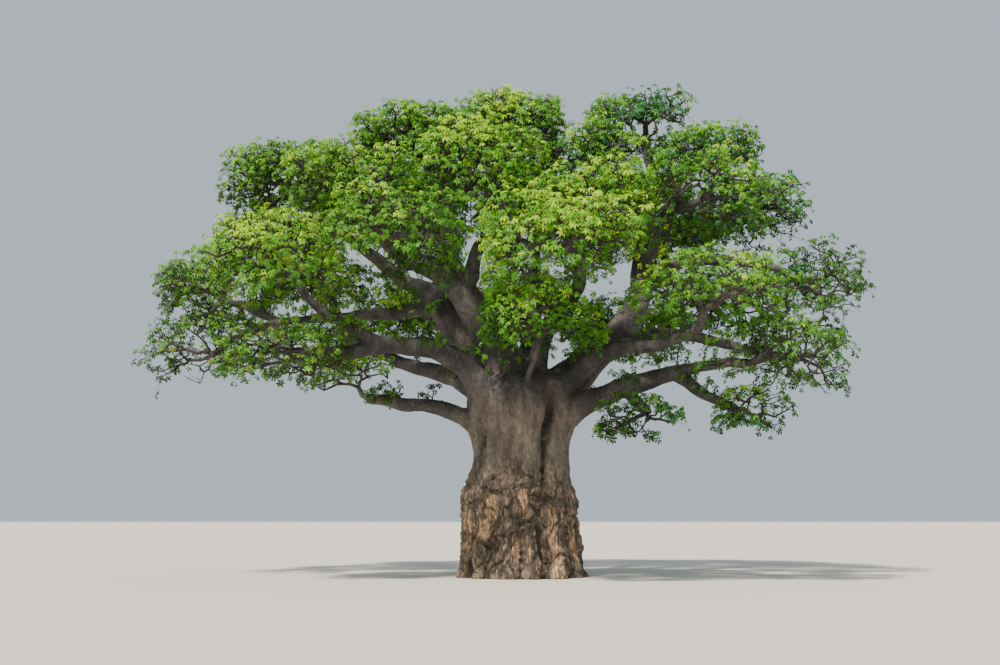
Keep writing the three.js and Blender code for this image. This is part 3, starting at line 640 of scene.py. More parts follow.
def grow_twigs(growth, start, places, sizes, rng):
    """Twigs that fork by halving until a few tips are left, which the last ones reach."""
    if len(places) <= FAN:
        radius = np.full((len(places), 1), sizes.twig_radius)
        growth.twigs.append(np.concatenate((np.broadcast_to(start, places.shape), places, radius), axis=1))
        return
    for part in split_group(places):
        group = places[part]
        end = start + (group.mean(axis=0) - start) * FORK_REACH + rng.normal(0, FORK_SCATTER, 3)
        radius = pipe_radius(len(group), sizes.twig_radius)
        growth.branches.append((np.array((start, end)), np.array((radius, radius * BRANCH_TAPER))))
        grow_twigs(growth, end, group, sizes, rng)


def stem_of(name):
    """Where a mass's stem leaves, the way it leaves, and how thick it may be there."""
    limb = MASSES[name].limb
    if limb == "trunk":
        return np.array(TRUNK_STEM_ROOT), np.array(TRUNK_STEM_WAY), TRUNK_STEM_RADIUS
    line = limb_lines()[limb]
    return line.at(1), line.way(1), LIMBS[limb].tip


def grow_mass(name, sizes):
    """A mass's stem from its limb's tip, and all that grows from it, by the solids' rule."""
    mass = MASSES[name]
    rng = np.random.default_rng([SEED, *name.encode()])
    tufts = tufts_of(name, sizes, rng)
    growth = Growth()
    middle, half = np.array(mass.middle), np.array(mass.half)
    root, way, thickest = stem_of(name)
    fork = middle + unit((root - middle) / half) * half * STEM_END
    lead = root + way * math.dist(root, fork) * STEM_LEAD
    t = np.linspace(0, 1, STEM_POINTS)[:, None]
    arc = Line((1 - t) ** 2 * root + 2 * t * (1 - t) * lead + t**2 * fork)
    stem = crooked(arc, STEM_CROOK, STEM_PITCH)
    end_radius = min(thickest, pipe_radius(sum(len(tuft.hands) for tuft in tufts), sizes.twig_radius))
    growth.stems.append((stem, min(thickest, end_radius * STEM_SWELL), end_radius))
    grow_tufts(growth, stem.at(1), stem.way(1), tufts, sizes, rng)
    return growth


class Sizes(NamedTuple):
    """The crown's sizes, named as its settings are."""

    tufts: int
    hands: int
    tuft_radius: float
    spacing: float
    lowest: float
    parting: float
    limb_room: float
    stray: float
    darts: int
    shoots: float
    twig_radius: float


def crown_sizes(settings):
    """The crown's sizes as a value that can be looked up again."""
    return Sizes(*(getattr(settings, name) for name in Sizes._fields))


def grow_shoots(growth, sizes):
    """Leafy shoots that sprout along the limbs."""
    rng = np.random.default_rng([SEED, len(LIMBS)])
    for name, line in limb_lines().items():
        for share in rng.uniform(SHOOT_START, 1, round(sizes.shoots * line.length)):
            middle, radius = line.at(share), limb_radius(name, share)
            side = unit(np.cross(line.way(share), rng.normal(0, 1, 3)))
            way = unit(side + UP * SHOOT_RISE)
            size = rng.uniform(*SHOOT_SIZE)
            place = middle + way * (radius + rng.uniform(*SHOOT_LENGTH))
            hands = hands_of_tuft(place, unit(way + UP), size, sizes, rng)
            hands = hands[clear_of_limbs(hands, SHOOT_ROOM)]
            if len(hands) < LEAST_HANDS:
                continue
            start = middle + side * radius * SHOOT_ROOT
            tuft = Tuft(place - way * size * HUB_DEPTH, way, hands, True)
            grow_tuft(growth, start, side, tuft, sizes, rng)


@functools.cache
def grow_crown(sizes):
    """Everything that grows from the limbs, by mass; the shoots count with the mass inside the crown."""
    crown = {name: grow_mass(name, sizes) for name in MASSES}
    grow_shoots(crown["leaves_inner_front"], sizes)
    return crown


# Meshes

SPIKE_SIDES = 3
SPIKE_FACES = [(0, 1, 3), (1, 2, 3), (2, 0, 3), (0, 2, 1)]
BRANCH_SIDES = ((0.06, 6), (0.03, 4), (0, 3))  # a branch thicker than the first number has that many sides


def object_of(name, mesh, material):
    """A new object in the scene with that mesh and material."""
    mesh.materials.append(material)
    piece = bpy.data.objects.new(name, mesh)
    bpy.context.scene.collection.objects.link(piece)
    return piece


def dress(piece, nodes):
    """Ties a piece to the tree's body and the solids that it stands for."""
    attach(piece, BODY)
    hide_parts(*nodes)


def mesh_of_triangles(name, points, triangles):
    """A mesh from arrays of points and of corner indices."""
    mesh = bpy.data.meshes.new(name)
    mesh.vertices.add(len(points))
    mesh.vertices.foreach_set("co", points.astype(np.float32).ravel())
    mesh.loops.add(triangles.size)
    mesh.loops.foreach_set("vertex_index", triangles.astype(np.int32).ravel())
    mesh.polygons.add(len(triangles))
    mesh.polygons.foreach_set("loop_start", np.arange(0, triangles.size, 3, dtype=np.int32))
    mesh.update(calc_edges=True)
    mesh.validate()
    return mesh


def repeated(faces, count, corners):
    """The faces of one small shape, for that many copies of it in a row."""
    return (np.array(faces)[None] + corners * np.arange(count)[:, None, None]).reshape(-1, 3)


def tubes(lines, radii, sides):
    """Closed tubes of one number of rings and sides, as points and triangles."""
    count, rings = lines.shape[:2]
    ways = unit(np.gradient(lines, axis=1))
    run = unit(lines[:, -1] - lines[:, 0])
    across, _ = frame_of(run)
    across = unit(across[:, None] - ways * np.sum(across[:, None] * ways, axis=2, keepdims=True))
    over = np.cross(ways, across)
    turn = np.arange(sides) * 2 * math.pi / sides
    ring = across[:, :, None] * np.cos(turn)[:, None] + over[:, :, None] * np.sin(turn)[:, None]
    points = (lines[:, :, None] + ring * radii[:, :, None, None]).reshape(-1, 3)
    faces = []
    for i in range(rings - 1):
        for j in range(sides):
            a, b = i * sides + j, i * sides + (j + 1) % sides
            faces += [(a, b, a + sides), (b, b + sides, a + sides)]
    last = (rings - 1) * sides
    for j in range(1, sides - 1):
        faces += [(0, j + 1, j), (last, last + j, last + j + 1)]
    return points, repeated(faces, count, rings * sides)


def spikes(starts, ends, radii):
    """Three-sided twigs that end in a point, as points and triangles."""
    way = unit(ends - starts)
    across, over = frame_of(way)
    turn = np.arange(SPIKE_SIDES) * 2 * math.pi / SPIKE_SIDES
    ring = across[:, None] * np.cos(turn)[:, None] + over[:, None] * np.sin(turn)[:, None]
    ring = starts[:, None] + ring * radii[:, None, None]
    points = np.concatenate((ring, ends[:, None]), axis=1).reshape(-1, 3)
    return points, repeated(SPIKE_FACES, len(starts), SPIKE_SIDES + 1)


def joined(parts):
    """Several shapes' points and triangles as one."""
    points, triangles, count = [], [], 0
    for part_points, part_triangles in parts:
        points.append(part_points)
        triangles.append(part_triangles + count)
        count += len(part_points)
    return np.concatenate(points), np.concatenate(triangles)


def branch_shapes(branches):
    """Tubes for branches, the thicker ones with more sides, sorted by their number of rings."""
    sorts = {}
    for points, radii in branches:
        sides = next(sides for least, sides in BRANCH_SIDES if radii[0] > least)
        sorts.setdefault((len(points), sides), []).append((points, radii))
    shapes = []
    for (_, sides), group in sorts.items():
        lines, radii = zip(*group)
        shapes.append(tubes(np.array(lines), np.array(radii), sides))
    return shapes


# Leaves

# A leaflet as a kite, 1 long: its root, its two sides and its tip, which hangs
LEAFLET = np.array([(0.03, 0, 0), (0.55, 0.21, 0.05), (0.55, -0.21, 0.05), (1, 0, -0.26)])
LEAFLET_FACES = [(0, 2, 1), (1, 2, 3)]
LEAFLET_SPIN = 0.16  # how unevenly leaflets stand round their hand, in radians
HAND_DROOP = (0.05, 0.85)  # how far a hand's leaflets hang, to how far they stand out
LEAFLET_DROOP = 0.15  # how much that differs from leaflet to leaflet
HAND_SIZE = (0.7, 1.2)
LEAFLET_SIZE = (0.85, 1.1)


def leaf_hands(hands, length, leaflets, rng):
    """Hands of leaflets round each place, facing each way, as points and triangles."""
    place, face = hands[:, :3], hands[:, 3:6]
    count = len(hands)
    across, over = frame_of(face)
    spin = rng.uniform(0, 2 * math.pi, (count, 1)) + np.arange(leaflets) * 2 * math.pi / leaflets
    spin = spin + rng.normal(0, LEAFLET_SPIN, (count, leaflets))
    out = across[:, None] * np.cos(spin)[..., None] + over[:, None] * np.sin(spin)[..., None]
    droop = rng.uniform(*HAND_DROOP, (count, 1)) + rng.normal(0, LEAFLET_DROOP, (count, leaflets))
    out = unit(out - face[:, None] * droop[..., None])
    side = unit(np.cross(face[:, None], out))
    rise = np.cross(out, side)
    size = length * rng.uniform(*HAND_SIZE, (count, 1)) * rng.uniform(*LEAFLET_SIZE, (count, leaflets))
    along, aside, above = LEAFLET[:, :, None].transpose(1, 0, 2)
    points = out[:, :, None] * along + side[:, :, None] * aside + rise[:, :, None] * above
    points = place[:, None, None] + points * size[:, :, None, None]
    return points.reshape(-1, 3), repeated(LEAFLET_FACES, count * leaflets, len(LEAFLET))


# Materials

METRE = 1000.0  # millimetres
MIX_SHARE, MIX_FIRST, MIX_SECOND, MIX_RESULT = 0, 6, 7, 2  # a Mix node's sockets for colours
BLEND_SHARE, BLEND_FIRST, BLEND_SECOND = 0, 1, 2  # a Mix Shader node's sockets
MATH_FIRST, MATH_SECOND, MATH_THIRD = 0, 1, 2  # a Math node's sockets
VECTOR, VECTOR_SCALE = 0, 3  # a Vector Math node's sockets
GLOW = (1.7, 1.5, 0.45)  # light that has passed through a leaf, to the leaf's own colour
THINNESS = 0.32  # how much of the light on a leaf passes through it
BARK_LAYERS = (("trunk", "streaks"), ("scaly", "flakes"), ("torn", "fibres"))  # each finish and its pattern
GRAIN_SHADE = 0.55  # how far the grain darkens and lightens the bark


class Pattern(NamedTuple):
    """A noise in the bark: its grain in millimetres, its stretch upwards, and where it is dark and light."""

    name: str
    grain: float
    stretch: float
    low: float
    high: float


# Real bark's fibres and grain are a few millimetres across. A pixel of the picture takes in about 36 mm,
# so both are drawn coarser, or they wouldn't show.
BARK_PATTERNS = (
    Pattern("clouds", 1100, 1.6, 0.36, 0.64),
    Pattern("streaks", 520, 6, 0.28, 0.76),
    Pattern("flakes", 160, 1.8, 0.3, 0.7),
    Pattern("fibres", 70, 6, 0.36, 0.62),
    Pattern("grain", 95, 1.7, 0.34, 0.66),
)


def add_node(tree, kind, inputs=None, **settings):
    """Adds a node with its settings; each input takes a value or another node's output."""
    node = tree.nodes.new(kind)
    for name, value in settings.items():
        setattr(node, name, value)
    for socket, value in (inputs or {}).items():
        if isinstance(value, bpy.types.NodeSocket):
            tree.links.new(value, node.inputs[socket])
        else:
            node.inputs[socket].default_value = value
    return node


def blank_material(name):
    """A new material without nodes, and its node tree."""
    material = bpy.data.materials.new(name)
    material.use_nodes = True
    material.node_tree.nodes.clear()
    return material, material.node_tree


def leaf_material(name, colour):
    """Baobab leaf, thin, with a satin cuticle: its lit side is bright, and light shines through yellower."""
    material, tree = blank_material(name)
    glow = [min(1, part * gain) for part, gain in zip(colour, GLOW)]
    inputs = {"Base Color": (*colour, 1), "Roughness": 0.55, "Specular IOR Level": 0.2}
    surface = add_node(tree, "ShaderNodeBsdfPrincipled", inputs)
    through = add_node(tree, "ShaderNodeBsdfTranslucent", {"Color": (*glow, 1)})
    inputs = {BLEND_SHARE: THINNESS, BLEND_FIRST: surface.outputs[0], BLEND_SECOND: through.outputs[0]}
    leaf = add_node(tree, "ShaderNodeMixShader", inputs)
    add_node(tree, "ShaderNodeOutputMaterial", {"Surface": leaf.outputs[0]})
    return material


def plain_material(name, colour, roughness):
    """A finish of one colour all over, as dull as the roughness says."""
    material, tree = blank_material(name)
    inputs = {"Base Color": (*colour, 1), "Roughness": roughness}
    surface = add_node(tree, "ShaderNodeBsdfPrincipled", inputs)
    add_node(tree, "ShaderNodeOutputMaterial", {"Surface": surface.outputs[0]})
    return material


def bark_material(name, settings):
    """Baobab bark, matt: smooth grey skin above, warm and streaked lower, torn and scaly at the foot.

    The skin's colour drifts in clouds, streaks run down the trunk, and torn arches show tan inner bark.
    Cracks and creases are darkened with painted shade.
    """
    material, tree = blank_material(name)
    place = add_node(tree, "ShaderNodeTexCoord").outputs["Object"]
    shares = {}
    for pattern, millimetres, stretch, low, high in BARK_PATTERNS:
        held = add_node(tree, "ShaderNodeMapping", {"Vector": place, "Scale": (1, 1, 1 / stretch)})
        inputs = {"Vector": held.outputs[0], "Scale": METRE / millimetres, "Detail": 6, "Roughness": 0.62}
        drawn = add_node(tree, "ShaderNodeTexNoise", inputs)
        inputs = {"Value": drawn.outputs["Fac"], "From Min": low, "From Max": high}
        faded = add_node(tree, "ShaderNodeMapRange", inputs, interpolation_type="SMOOTHSTEP")
        shares[pattern] = faded.outputs[0]
    colours = {
        "limbs": (settings.limb_dark, settings.limb_light),
        "trunk": (settings.trunk_dark, settings.trunk_light),
        "scaly": (settings.scaly_dark, settings.scaly_light),
        "torn": (settings.torn_dark, settings.torn_light),
    }
    ends = [(*colour, 1) for colour in colours["limbs"]]
    inputs = {MIX_SHARE: shares["clouds"], MIX_FIRST: ends[0], MIX_SECOND: ends[1]}
    colour = add_node(tree, "ShaderNodeMix", inputs, data_type="RGBA").outputs[MIX_RESULT]
    for layer, pattern in BARK_LAYERS:
        ends = [(*shade, 1) for shade in colours[layer]]
        inputs = {MIX_SHARE: shares[pattern], MIX_FIRST: ends[0], MIX_SECOND: ends[1]}
        shade = add_node(tree, "ShaderNodeMix", inputs, data_type="RGBA").outputs[MIX_RESULT]
        reach = add_node(tree, "ShaderNodeAttribute", attribute_name=layer).outputs["Fac"]
        inputs = {MIX_SHARE: reach, MIX_FIRST: colour, MIX_SECOND: shade}
        colour = add_node(tree, "ShaderNodeMix", inputs, data_type="RGBA").outputs[MIX_RESULT]
    inputs = {MATH_FIRST: shares["grain"], MATH_SECOND: GRAIN_SHADE, MATH_THIRD: 1 - GRAIN_SHADE / 2}
    light = add_node(tree, "ShaderNodeMath", inputs, operation="MULTIPLY_ADD").outputs[0]
    inputs = {VECTOR: colour, VECTOR_SCALE: light}
    colour = add_node(tree, "ShaderNodeVectorMath", inputs, operation="SCALE").outputs[0]
    # painted shade: the bark darkens towards the crevice colour down in its cracks and creases
    reach = add_node(tree, "ShaderNodeAttribute", attribute_name="hollow").outputs["Fac"]
    inputs = {MIX_SHARE: reach, MIX_FIRST: colour, MIX_SECOND: (*settings.crevice_shade, 1)}
    colour = add_node(tree, "ShaderNodeMix", inputs, data_type="RGBA").outputs[MIX_RESULT]
    inputs = {MATH_FIRST: shares["fibres"], MATH_SECOND: shares["grain"]}
    rough = add_node(tree, "ShaderNodeMath", inputs, operation="ADD").outputs[0]
    bump = add_node(tree, "ShaderNodeBump", {"Height": rough, "Strength": 0.6, "Distance": 0.04}).outputs[0]
    inputs = {"Base Color": colour, "Roughness": 0.88, "Normal": bump}
    surface = add_node(tree, "ShaderNodeBsdfPrincipled", inputs)
    add_node(tree, "ShaderNodeOutputMaterial", {"Surface": surface.outputs[0]})
    return material


# Bark

TRUNK_SIDES = 144
TRUNK_RING_STEP = 0.12  # between the rings of the rough trunk
TRUNK_CAP_RADIUS = 0.5  # at the top of the rough trunk, inside the boughs
FOOT_DEPTH = 0.3  # how far the rough trunk goes below the ground, where it is cut flat
LIMB_SIDES = 20
LIMB_RING_STEP = 0.2
LIMB_RINGS = 6  # at least
LIMB_CROOK = 0.12  # how far a limb bends aside
LIMB_PITCH = 1.1  # how far apart its bends are
STEM_SIDES = 12
STEM_RING_STEP = 0.25
STEM_RINGS = 5  # at least


@functools.cache
def trunk_profile():
    """Points up the trunk's side: its radius, how far it stands towards +X, and the height."""
    return line_through([(s.radius, s.shift, s.height) for s in STATIONS]).points


def trunk_radius(height):
    """The trunk's radius at a height, without its folds."""
    profile = trunk_profile()
    return np.interp(height, profile[:, 2], profile[:, 0])


def trunk_shift(height):
    """How far the trunk's middle stands towards +X at a height."""
    profile = trunk_profile()
    return np.interp(height, profile[:, 2], profile[:, 1])


def turned(turn, start):
    """How far a turn is from start, in degrees, the short way round."""
    return (turn - start + 180) % 360 - 180


def folded_share(turn, height):
    """How much of the radius is left at a turn, in degrees, and a height, after the folds."""
    share = 1.0
    for fold in FOLDS:
        off = turned(turn, fold.turn)
        rise = smoothstep(fold.low - FOLD_FADE, fold.low + FOLD_FADE, height)
        fall = 1 - smoothstep(fold.high - FOLD_FADE, fold.high + FOLD_FADE, height)
        share = share - fold.depth * rise * fall * np.exp(-((off / fold.width) ** 2))
    return share


def ring_frames(line, radii):
    """A matrix for each ring along a line, carried along it without twist."""
    shares = np.linspace(0, 1, len(radii))
    frames = []
    turn = Vector(line.way(0.0)).to_track_quat("Z", "Y")
    for share, radius in zip(shares, radii):
        way = Vector(line.way(share))
        turn = (turn @ Vector((0, 0, 1))).rotation_difference(way) @ turn
        size = Matrix.Diagonal((radius, radius, 1, 1))
        frames.append(Matrix.Translation(line.at(share)) @ turn.to_matrix().to_4x4() @ size)
    return frames


def add_tube(bm, frames, sides):
    """A closed tube: a round cap drawn out from ring to ring."""
    made = bmesh.ops.create_circle(bm, cap_ends=True, segments=sides, radius=1, matrix=frames[0])
    cap = made["verts"][0].link_faces[0]
    for before, after in zip(frames, frames[1:]):
        grown = bmesh.ops.extrude_face_region(bm, geom=[cap])["geom"]
        cap = next(part for part in grown if isinstance(part, bmesh.types.BMFace))
        bmesh.ops.transform(bm, matrix=after @ before.inverted(), verts=cap.verts)


def add_trunk(bm):
    """The trunk: rings up its profile, drawn in at the folds and closed over at the top."""
    top = STATIONS[-1].height
    heights = np.append(np.arange(-FOOT_DEPTH, top, TRUNK_RING_STEP), (top, TRUNK_TOP))
    radii = np.append(trunk_radius(np.maximum(heights[:-1], 0)), TRUNK_CAP_RADIUS)
    frames = [
        Matrix.Translation((trunk_shift(height), 0, height)) @ Matrix.Diagonal((radius, radius, 1, 1))
        for height, radius in zip(heights, radii)
    ]
    first = len(bm.verts)
    add_tube(bm, frames, TRUNK_SIDES)
    bm.verts.ensure_lookup_table()
    for vert in bm.verts[first:]:
        shift = trunk_shift(vert.co.z)
        turn = math.degrees(math.atan2(vert.co.y, vert.co.x - shift))
        share = folded_share(turn, max(vert.co.z, 0))
        vert.co.x = shift + (vert.co.x - shift) * share
        vert.co.y *= share


def bark_solid(crown):
    """The trunk, the limbs and the masses' stems as closed tubes that run into each other."""
    bm = bmesh.new()
    add_trunk(bm)
    for name, line in limb_lines().items():
        steps = max(LIMB_RINGS, round(line.length / LIMB_RING_STEP))
        radii = limb_radius(name, np.linspace(0, 1, steps))
        add_tube(bm, ring_frames(crooked(line, LIMB_CROOK, LIMB_PITCH), radii), LIMB_SIDES)
    for growth in crown.values():
        for line, root, end in growth.stems:
            steps = max(STEM_RINGS, round(line.length / STEM_RING_STEP))
            add_tube(bm, ring_frames(line, np.linspace(root, end, steps)), STEM_SIDES)
    return bm


def applied(name, mesh, modifiers):
    """The mesh with modifiers, each a kind and its settings, worked into it."""
    piece = bpy.data.objects.new(name, mesh)
    bpy.context.scene.collection.objects.link(piece)
    for kind, settings in modifiers:
        modifier = piece.modifiers.new(kind, kind)
        for setting, value in settings.items():
            setattr(modifier, setting, value)
    graph = bpy.context.evaluated_depsgraph_get()
    result = bpy.data.meshes.new_from_object(piece.evaluated_get(graph))
    bpy.data.objects.remove(piece)
    return result


class Crease(NamedTuple):
    """A crease in the trunk's bark from one turn and height to another, with its half width and depth."""

    turn: float
    height: float
    end_turn: float
    end_height: float
    width: float
    depth: float


# The front's follow the photo, and the rest are guessed
CREASES = [
    Crease(307, 7.3, 303, 5.3, 0.2, 0.17),
    Crease(303, 5.3, 299, 3.5, 0.1, 0.15),
    Crease(252, 6.2, 270, 6.6, 0.08, 0.12),
    Crease(270, 6.6, 297, 7.25, 0.12, 0.16),
    Crease(237, 6, 225, 5.4, 0.09, 0.08),
    Crease(225, 5.4, 208, 4.3, 0.09, 0.13),
    Crease(274, 6.4, 280, 4.4, 0.12, 0.07),
    Crease(256, 3.82, 272, 3.7, 0.04, 0.06),
    Crease(272, 3.7, 297, 3.35, 0.04, 0.07),
    Crease(221, 2.9, 235, 3.2, 0.05, 0.08),
    Crease(235, 3.2, 249, 3, 0.05, 0.08),
    Crease(262, 3.1, 277, 3.3, 0.05, 0.08),
    Crease(277, 3.3, 284, 2.9, 0.05, 0.08),
    Crease(294, 3, 292, 1.8, 0.05, 0.09),
    Crease(292, 1.8, 290.5, -0.3, 0.08, 0.2),
    Crease(248, 3, 248.5, -0.3, 0.08, 0.16),
    Crease(271, 1.9, 267.5, -0.3, 0.06, 0.1),
    Crease(236, 1.2, 233, -0.3, 0.06, 0.1),
    Crease(318, 1.6, 320, -0.3, 0.08, 0.14),
    Crease(30, 5.8, 38, 3.4, 0.12, 0.1),
    Crease(72, 6, 66, 3.6, 0.12, 0.1),
    Crease(100, 3.4, 122, 3.1, 0.05, 0.07),
    Crease(136, 6, 140, 3.8, 0.12, 0.1),
    Crease(66, 2.6, 70, -0.3, 0.08, 0.14),
    Crease(132, 2.4, 130, -0.3, 0.08, 0.14),
    Crease(186, 2.6, 188, -0.3, 0.08, 0.14),
    Crease(340, 3.1, 5, 3.4, 0.05, 0.07),
]


class Tear(NamedTuple):
    """A torn arch in the trunk's bark: its turn, middle height, half width and half height."""

    turn: float
    height: float
    half_width: float
    half_height: float


# The front's follow the photo, and the rest are guessed
TEARS = [
    Tear(240, 2.5, 0.2, 0.5),
    Tear(226, 1.75, 0.5, 0.4),
    Tear(274, 2.65, 0.2, 0.5),
    Tear(264, 1.2, 0.13, 0.6),
    Tear(276, 0.95, 0.09, 0.3),
    Tear(303.5, 1.35, 0.25, 1.15),
    Tear(204, 1.8, 0.18, 0.9),
    Tear(334, 1.5, 0.2, 0.8),
    Tear(356, 1.9, 0.24, 0.7),
    Tear(25, 1.3, 0.26, 1.0),
    Tear(55, 2.3, 0.25, 0.6),
    Tear(84, 1.4, 0.2, 1.0),
    Tear(108, 2.3, 0.28, 0.7),
    Tear(146, 1.5, 0.25, 1.1),
    Tear(172, 2.2, 0.24, 0.6),
]
TEAR_DEPTH = 0.09
TEAR_EDGE = (0.85, 1.05)  # where a tear ends, to its own outline
TEAR_RAGGED = 0.3  # how uneven fibres make that outline
FIBRE_DEPTH = 0.03  # how far fibres stand out in a tear
ARCH_POWER = (2, 5)  # a tear's outline is round above its middle and squarer below
LIP_DEPTH, LIP_PLACE, LIP_WIDTH = 0.05, 1.22, 0.14  # the rolled lip outside a tear's outline
RIM_HEIGHT, RIM_TILT, RIM_TURN = 3.6, 0.4, 210  # the scaly foot's upper edge, highest at that turn
RIM_SWAY, RIM_RAGGED = 0.35, 0.25  # how far that edge wanders, and how uneven it is
RIM_FADE = 0.7  # how far the scales run out above and below it
TOE_HEIGHT, TOE_REACH, TOES = 0.7, 0.1, 13  # swells round the trunk's foot
TOE_SWAY = 2  # how unevenly they stand, in radians
WARP, WARP_WAVES = 0.3, 1.4  # how far the plates' edges wander, and how often in a metre
PLATE_SIZE = np.array((0.55, 0.55, 1.5))
CHIP_SIZE = np.array((0.19, 0.19, 0.42))
PLATE_GAP, CHIP_GAP = 0.22, 0.3  # how wide the cracks round plates and chips are, as a share of their size
PLATE_DEPTH, CHIP_DEPTH, CRUMB_DEPTH = 0.07, 0.05, 0.05
FLESH_DEPTH, WRINKLE_DEPTH, LIMB_DEPTH = 0.08, 0.05, 0.045
CREASE_RAGGED = 0.05  # how uneven a crease's edges are
CREASE_EDGE = (0.05, 0.16)  # how deep a crease is where its painted shade begins, and where it is darkest
PLATE_SHADE, CHIP_SHADE, CREASE_SHADE = 0.8, 0.7, 0.9  # how dark painted shade makes the bark down in each
TORN_SHADE = 0.5  # how much less painted shade the chips' cracks take in a tear
FLAKE_EDGE = (0.3, 0.7)  # the fibres' noise where scales begin to flake off, and where they all have
FLAKE_DRIFT, FLAKE_SHARE = 0.5, 0.5  # how far that drifts with the broad swells, and how tan it is there
TRUNK_EDGE = (0.05, 0.7)  # how far outside the trunk's own surface its finish fades into a limb's
TRUNK_FADE = (5.5, 7.0)  # the heights between which it fades into the limbs' as well


class Grain(NamedTuple):
    """Layered noise: how fast its layers fade, how much finer each is, their number, and waves a metre."""

    fade: float
    finer: float
    layers: int
    waves: tuple


FLESH = Grain(1, 2, 3, (0.8, 0.8, 0.4))  # broad swells
WRINKLE = Grain(0.8, 2, 4, (5, 5, 0.8))  # upright wrinkles
CRUMB = Grain(0.6, 2.2, 4, (7, 7, 4))  # the broken face of old scales
FIBRE = Grain(0.7, 2, 3, (9, 9, 1.2))  # upright fibres
LIMB_GRAIN = Grain(1, 2, 4, (1.3, 1.3, 1.3))


def sampled(pattern, points):
    """A pattern read at each point."""
    return np.array([pattern(point) for point in points.tolist()])


def grained(grain, points):
    """Layered noise at each point."""

    def layered(point):
        return noise.fractal(point, grain.fade, grain.finer, grain.layers)

    return sampled(layered, points * grain.waves)


def cracks(points, size, width):
    """1 in the cracks between plates of that size, falling to 0 on the plates."""

    def edge(point):
        near = noise.voronoi(point)[0]
        return near[1] - near[0]

    return 1 - smoothstep(0, width, sampled(edge, points / size))


def crease_depth(turn, radius, height, ragged):
    """How deep the creases cut at each place on the trunk, in metres."""
    cut = np.zeros(len(turn))
    for crease in CREASES:
        off = np.radians(turned(turn, crease.turn)) * radius
        end = math.radians(turned(crease.end_turn, crease.turn)) * radius
        rise = crease.end_height - crease.height
        share = np.clip((off * end + (height - crease.height) * rise) / (end**2 + rise**2), 0, 1)
        away = np.hypot(off - share * end, height - crease.height - share * rise)
        cut = np.maximum(cut, crease.depth * np.exp(-(((away + ragged) / crease.width) ** 2)))
    return cut


def tear_reach(turn, radius, height, ragged):
    """How far each place lies from the middle of the nearest tear: 1 is on its edge."""
    reach = np.full(len(turn), np.inf)
    for tear in TEARS:
        aside = np.abs(np.radians(turned(turn, tear.turn)) * radius / tear.half_width)
        rise = (height - tear.height) / tear.half_height
        power = np.where(rise > 0, *ARCH_POWER)
        reach = np.minimum(reach, (aside**power + np.abs(rise) ** power) ** (1 / power))
    return reach + ragged


def trunk_relief(points, turn, radius):
    """How far the trunk's bark stands out at each point, how scaly and torn it is there, and its painted
    shade.
    """
    height = points[:, 2]
    bent = points + wander(points * WARP_WAVES) * WARP
    flesh = grained(FLESH, points)
    wrinkle = grained(WRINKLE, bent)
    crumb = grained(CRUMB, bent)
    fibre = grained(FIBRE, bent)
    rim = RIM_HEIGHT + RIM_TILT * np.cos(np.radians(turn - RIM_TURN)) + RIM_SWAY * flesh
    scaly = 1 - smoothstep(rim - RIM_FADE, rim + RIM_FADE, height + RIM_RAGGED * crumb)
    plates = cracks(bent, PLATE_SIZE, PLATE_GAP)
    chips = cracks(bent, CHIP_SIZE, CHIP_GAP)
    creases = crease_depth(turn, radius, height, CREASE_RAGGED * crumb)
    reach = tear_reach(turn, radius, height, TEAR_RAGGED * fibre)
    torn = (1 - smoothstep(*TEAR_EDGE, reach)) * scaly
    lip = np.exp(-(((reach - LIP_PLACE) / LIP_WIDTH) ** 2)) * scaly
    toes = np.cos(np.radians(turn) * TOES + TOE_SWAY * flesh) * (1 - smoothstep(0, TOE_HEIGHT, height))
    rough = CRUMB_DEPTH * crumb - PLATE_DEPTH * plates - CHIP_DEPTH * chips * (1 - torn)
    relief = (
        FLESH_DEPTH * flesh
        + WRINKLE_DEPTH * wrinkle
        + rough * scaly
        + LIP_DEPTH * lip
        - (TEAR_DEPTH - FIBRE_DEPTH * fibre) * torn
        + TOE_REACH * toes
        - creases
    )
    flakes = smoothstep(*FLAKE_EDGE, fibre + FLAKE_DRIFT * flesh) * scaly * (1 - plates) * FLAKE_SHARE
    # painted shade: the cracks round plates and chips, and the creases, are darkened where shade falls in
    # them
    hollow = np.maximum(PLATE_SHADE * plates, CHIP_SHADE * chips * (1 - TORN_SHADE * torn)) * scaly
    hollow = np.maximum(hollow, smoothstep(*CREASE_EDGE, creases) * CREASE_SHADE)
    return relief, scaly, np.maximum(torn, flakes), hollow


def bark_relief(points):
    """How far the bark stands out at each point, and the shares of each finish and of painted shade that
    colour it.
    """
    height = points[:, 2]
    aside = points[:, 0] - trunk_shift(height)
    turn = np.degrees(np.arctan2(points[:, 1], aside)) % 360
    radius = trunk_radius(height)
    beyond = np.hypot(aside, points[:, 1]) - radius
    trunk = (1 - smoothstep(*TRUNK_EDGE, beyond)) * (1 - smoothstep(*TRUNK_FADE, height))
    on = np.flatnonzero(trunk > 0)
    relief = LIMB_DEPTH * grained(LIMB_GRAIN, points)
    stands, *finishes = trunk_relief(points[on], turn[on], radius[on])
    relief[on] = relief[on] * (1 - trunk[on]) + stands * trunk[on]
    shares = {"trunk": trunk}
    for name, values in zip(("scaly", "torn", "hollow"), finishes):
        shares[name] = np.zeros(len(points))
        shares[name][on] = values * trunk[on]
    return relief, shares


def cut_flat(bm):
    """Cuts the foot off at the ground and closes it."""
    whole = [*bm.verts, *bm.edges, *bm.faces]
    cut = bmesh.ops.bisect_plane(bm, geom=whole, plane_co=(0, 0, 0), plane_no=(0, 0, 1), clear_inner=True)
    rim = [part for part in cut["geom_cut"] if isinstance(part, bmesh.types.BMEdge)]
    bmesh.ops.holes_fill(bm, edges=rim)


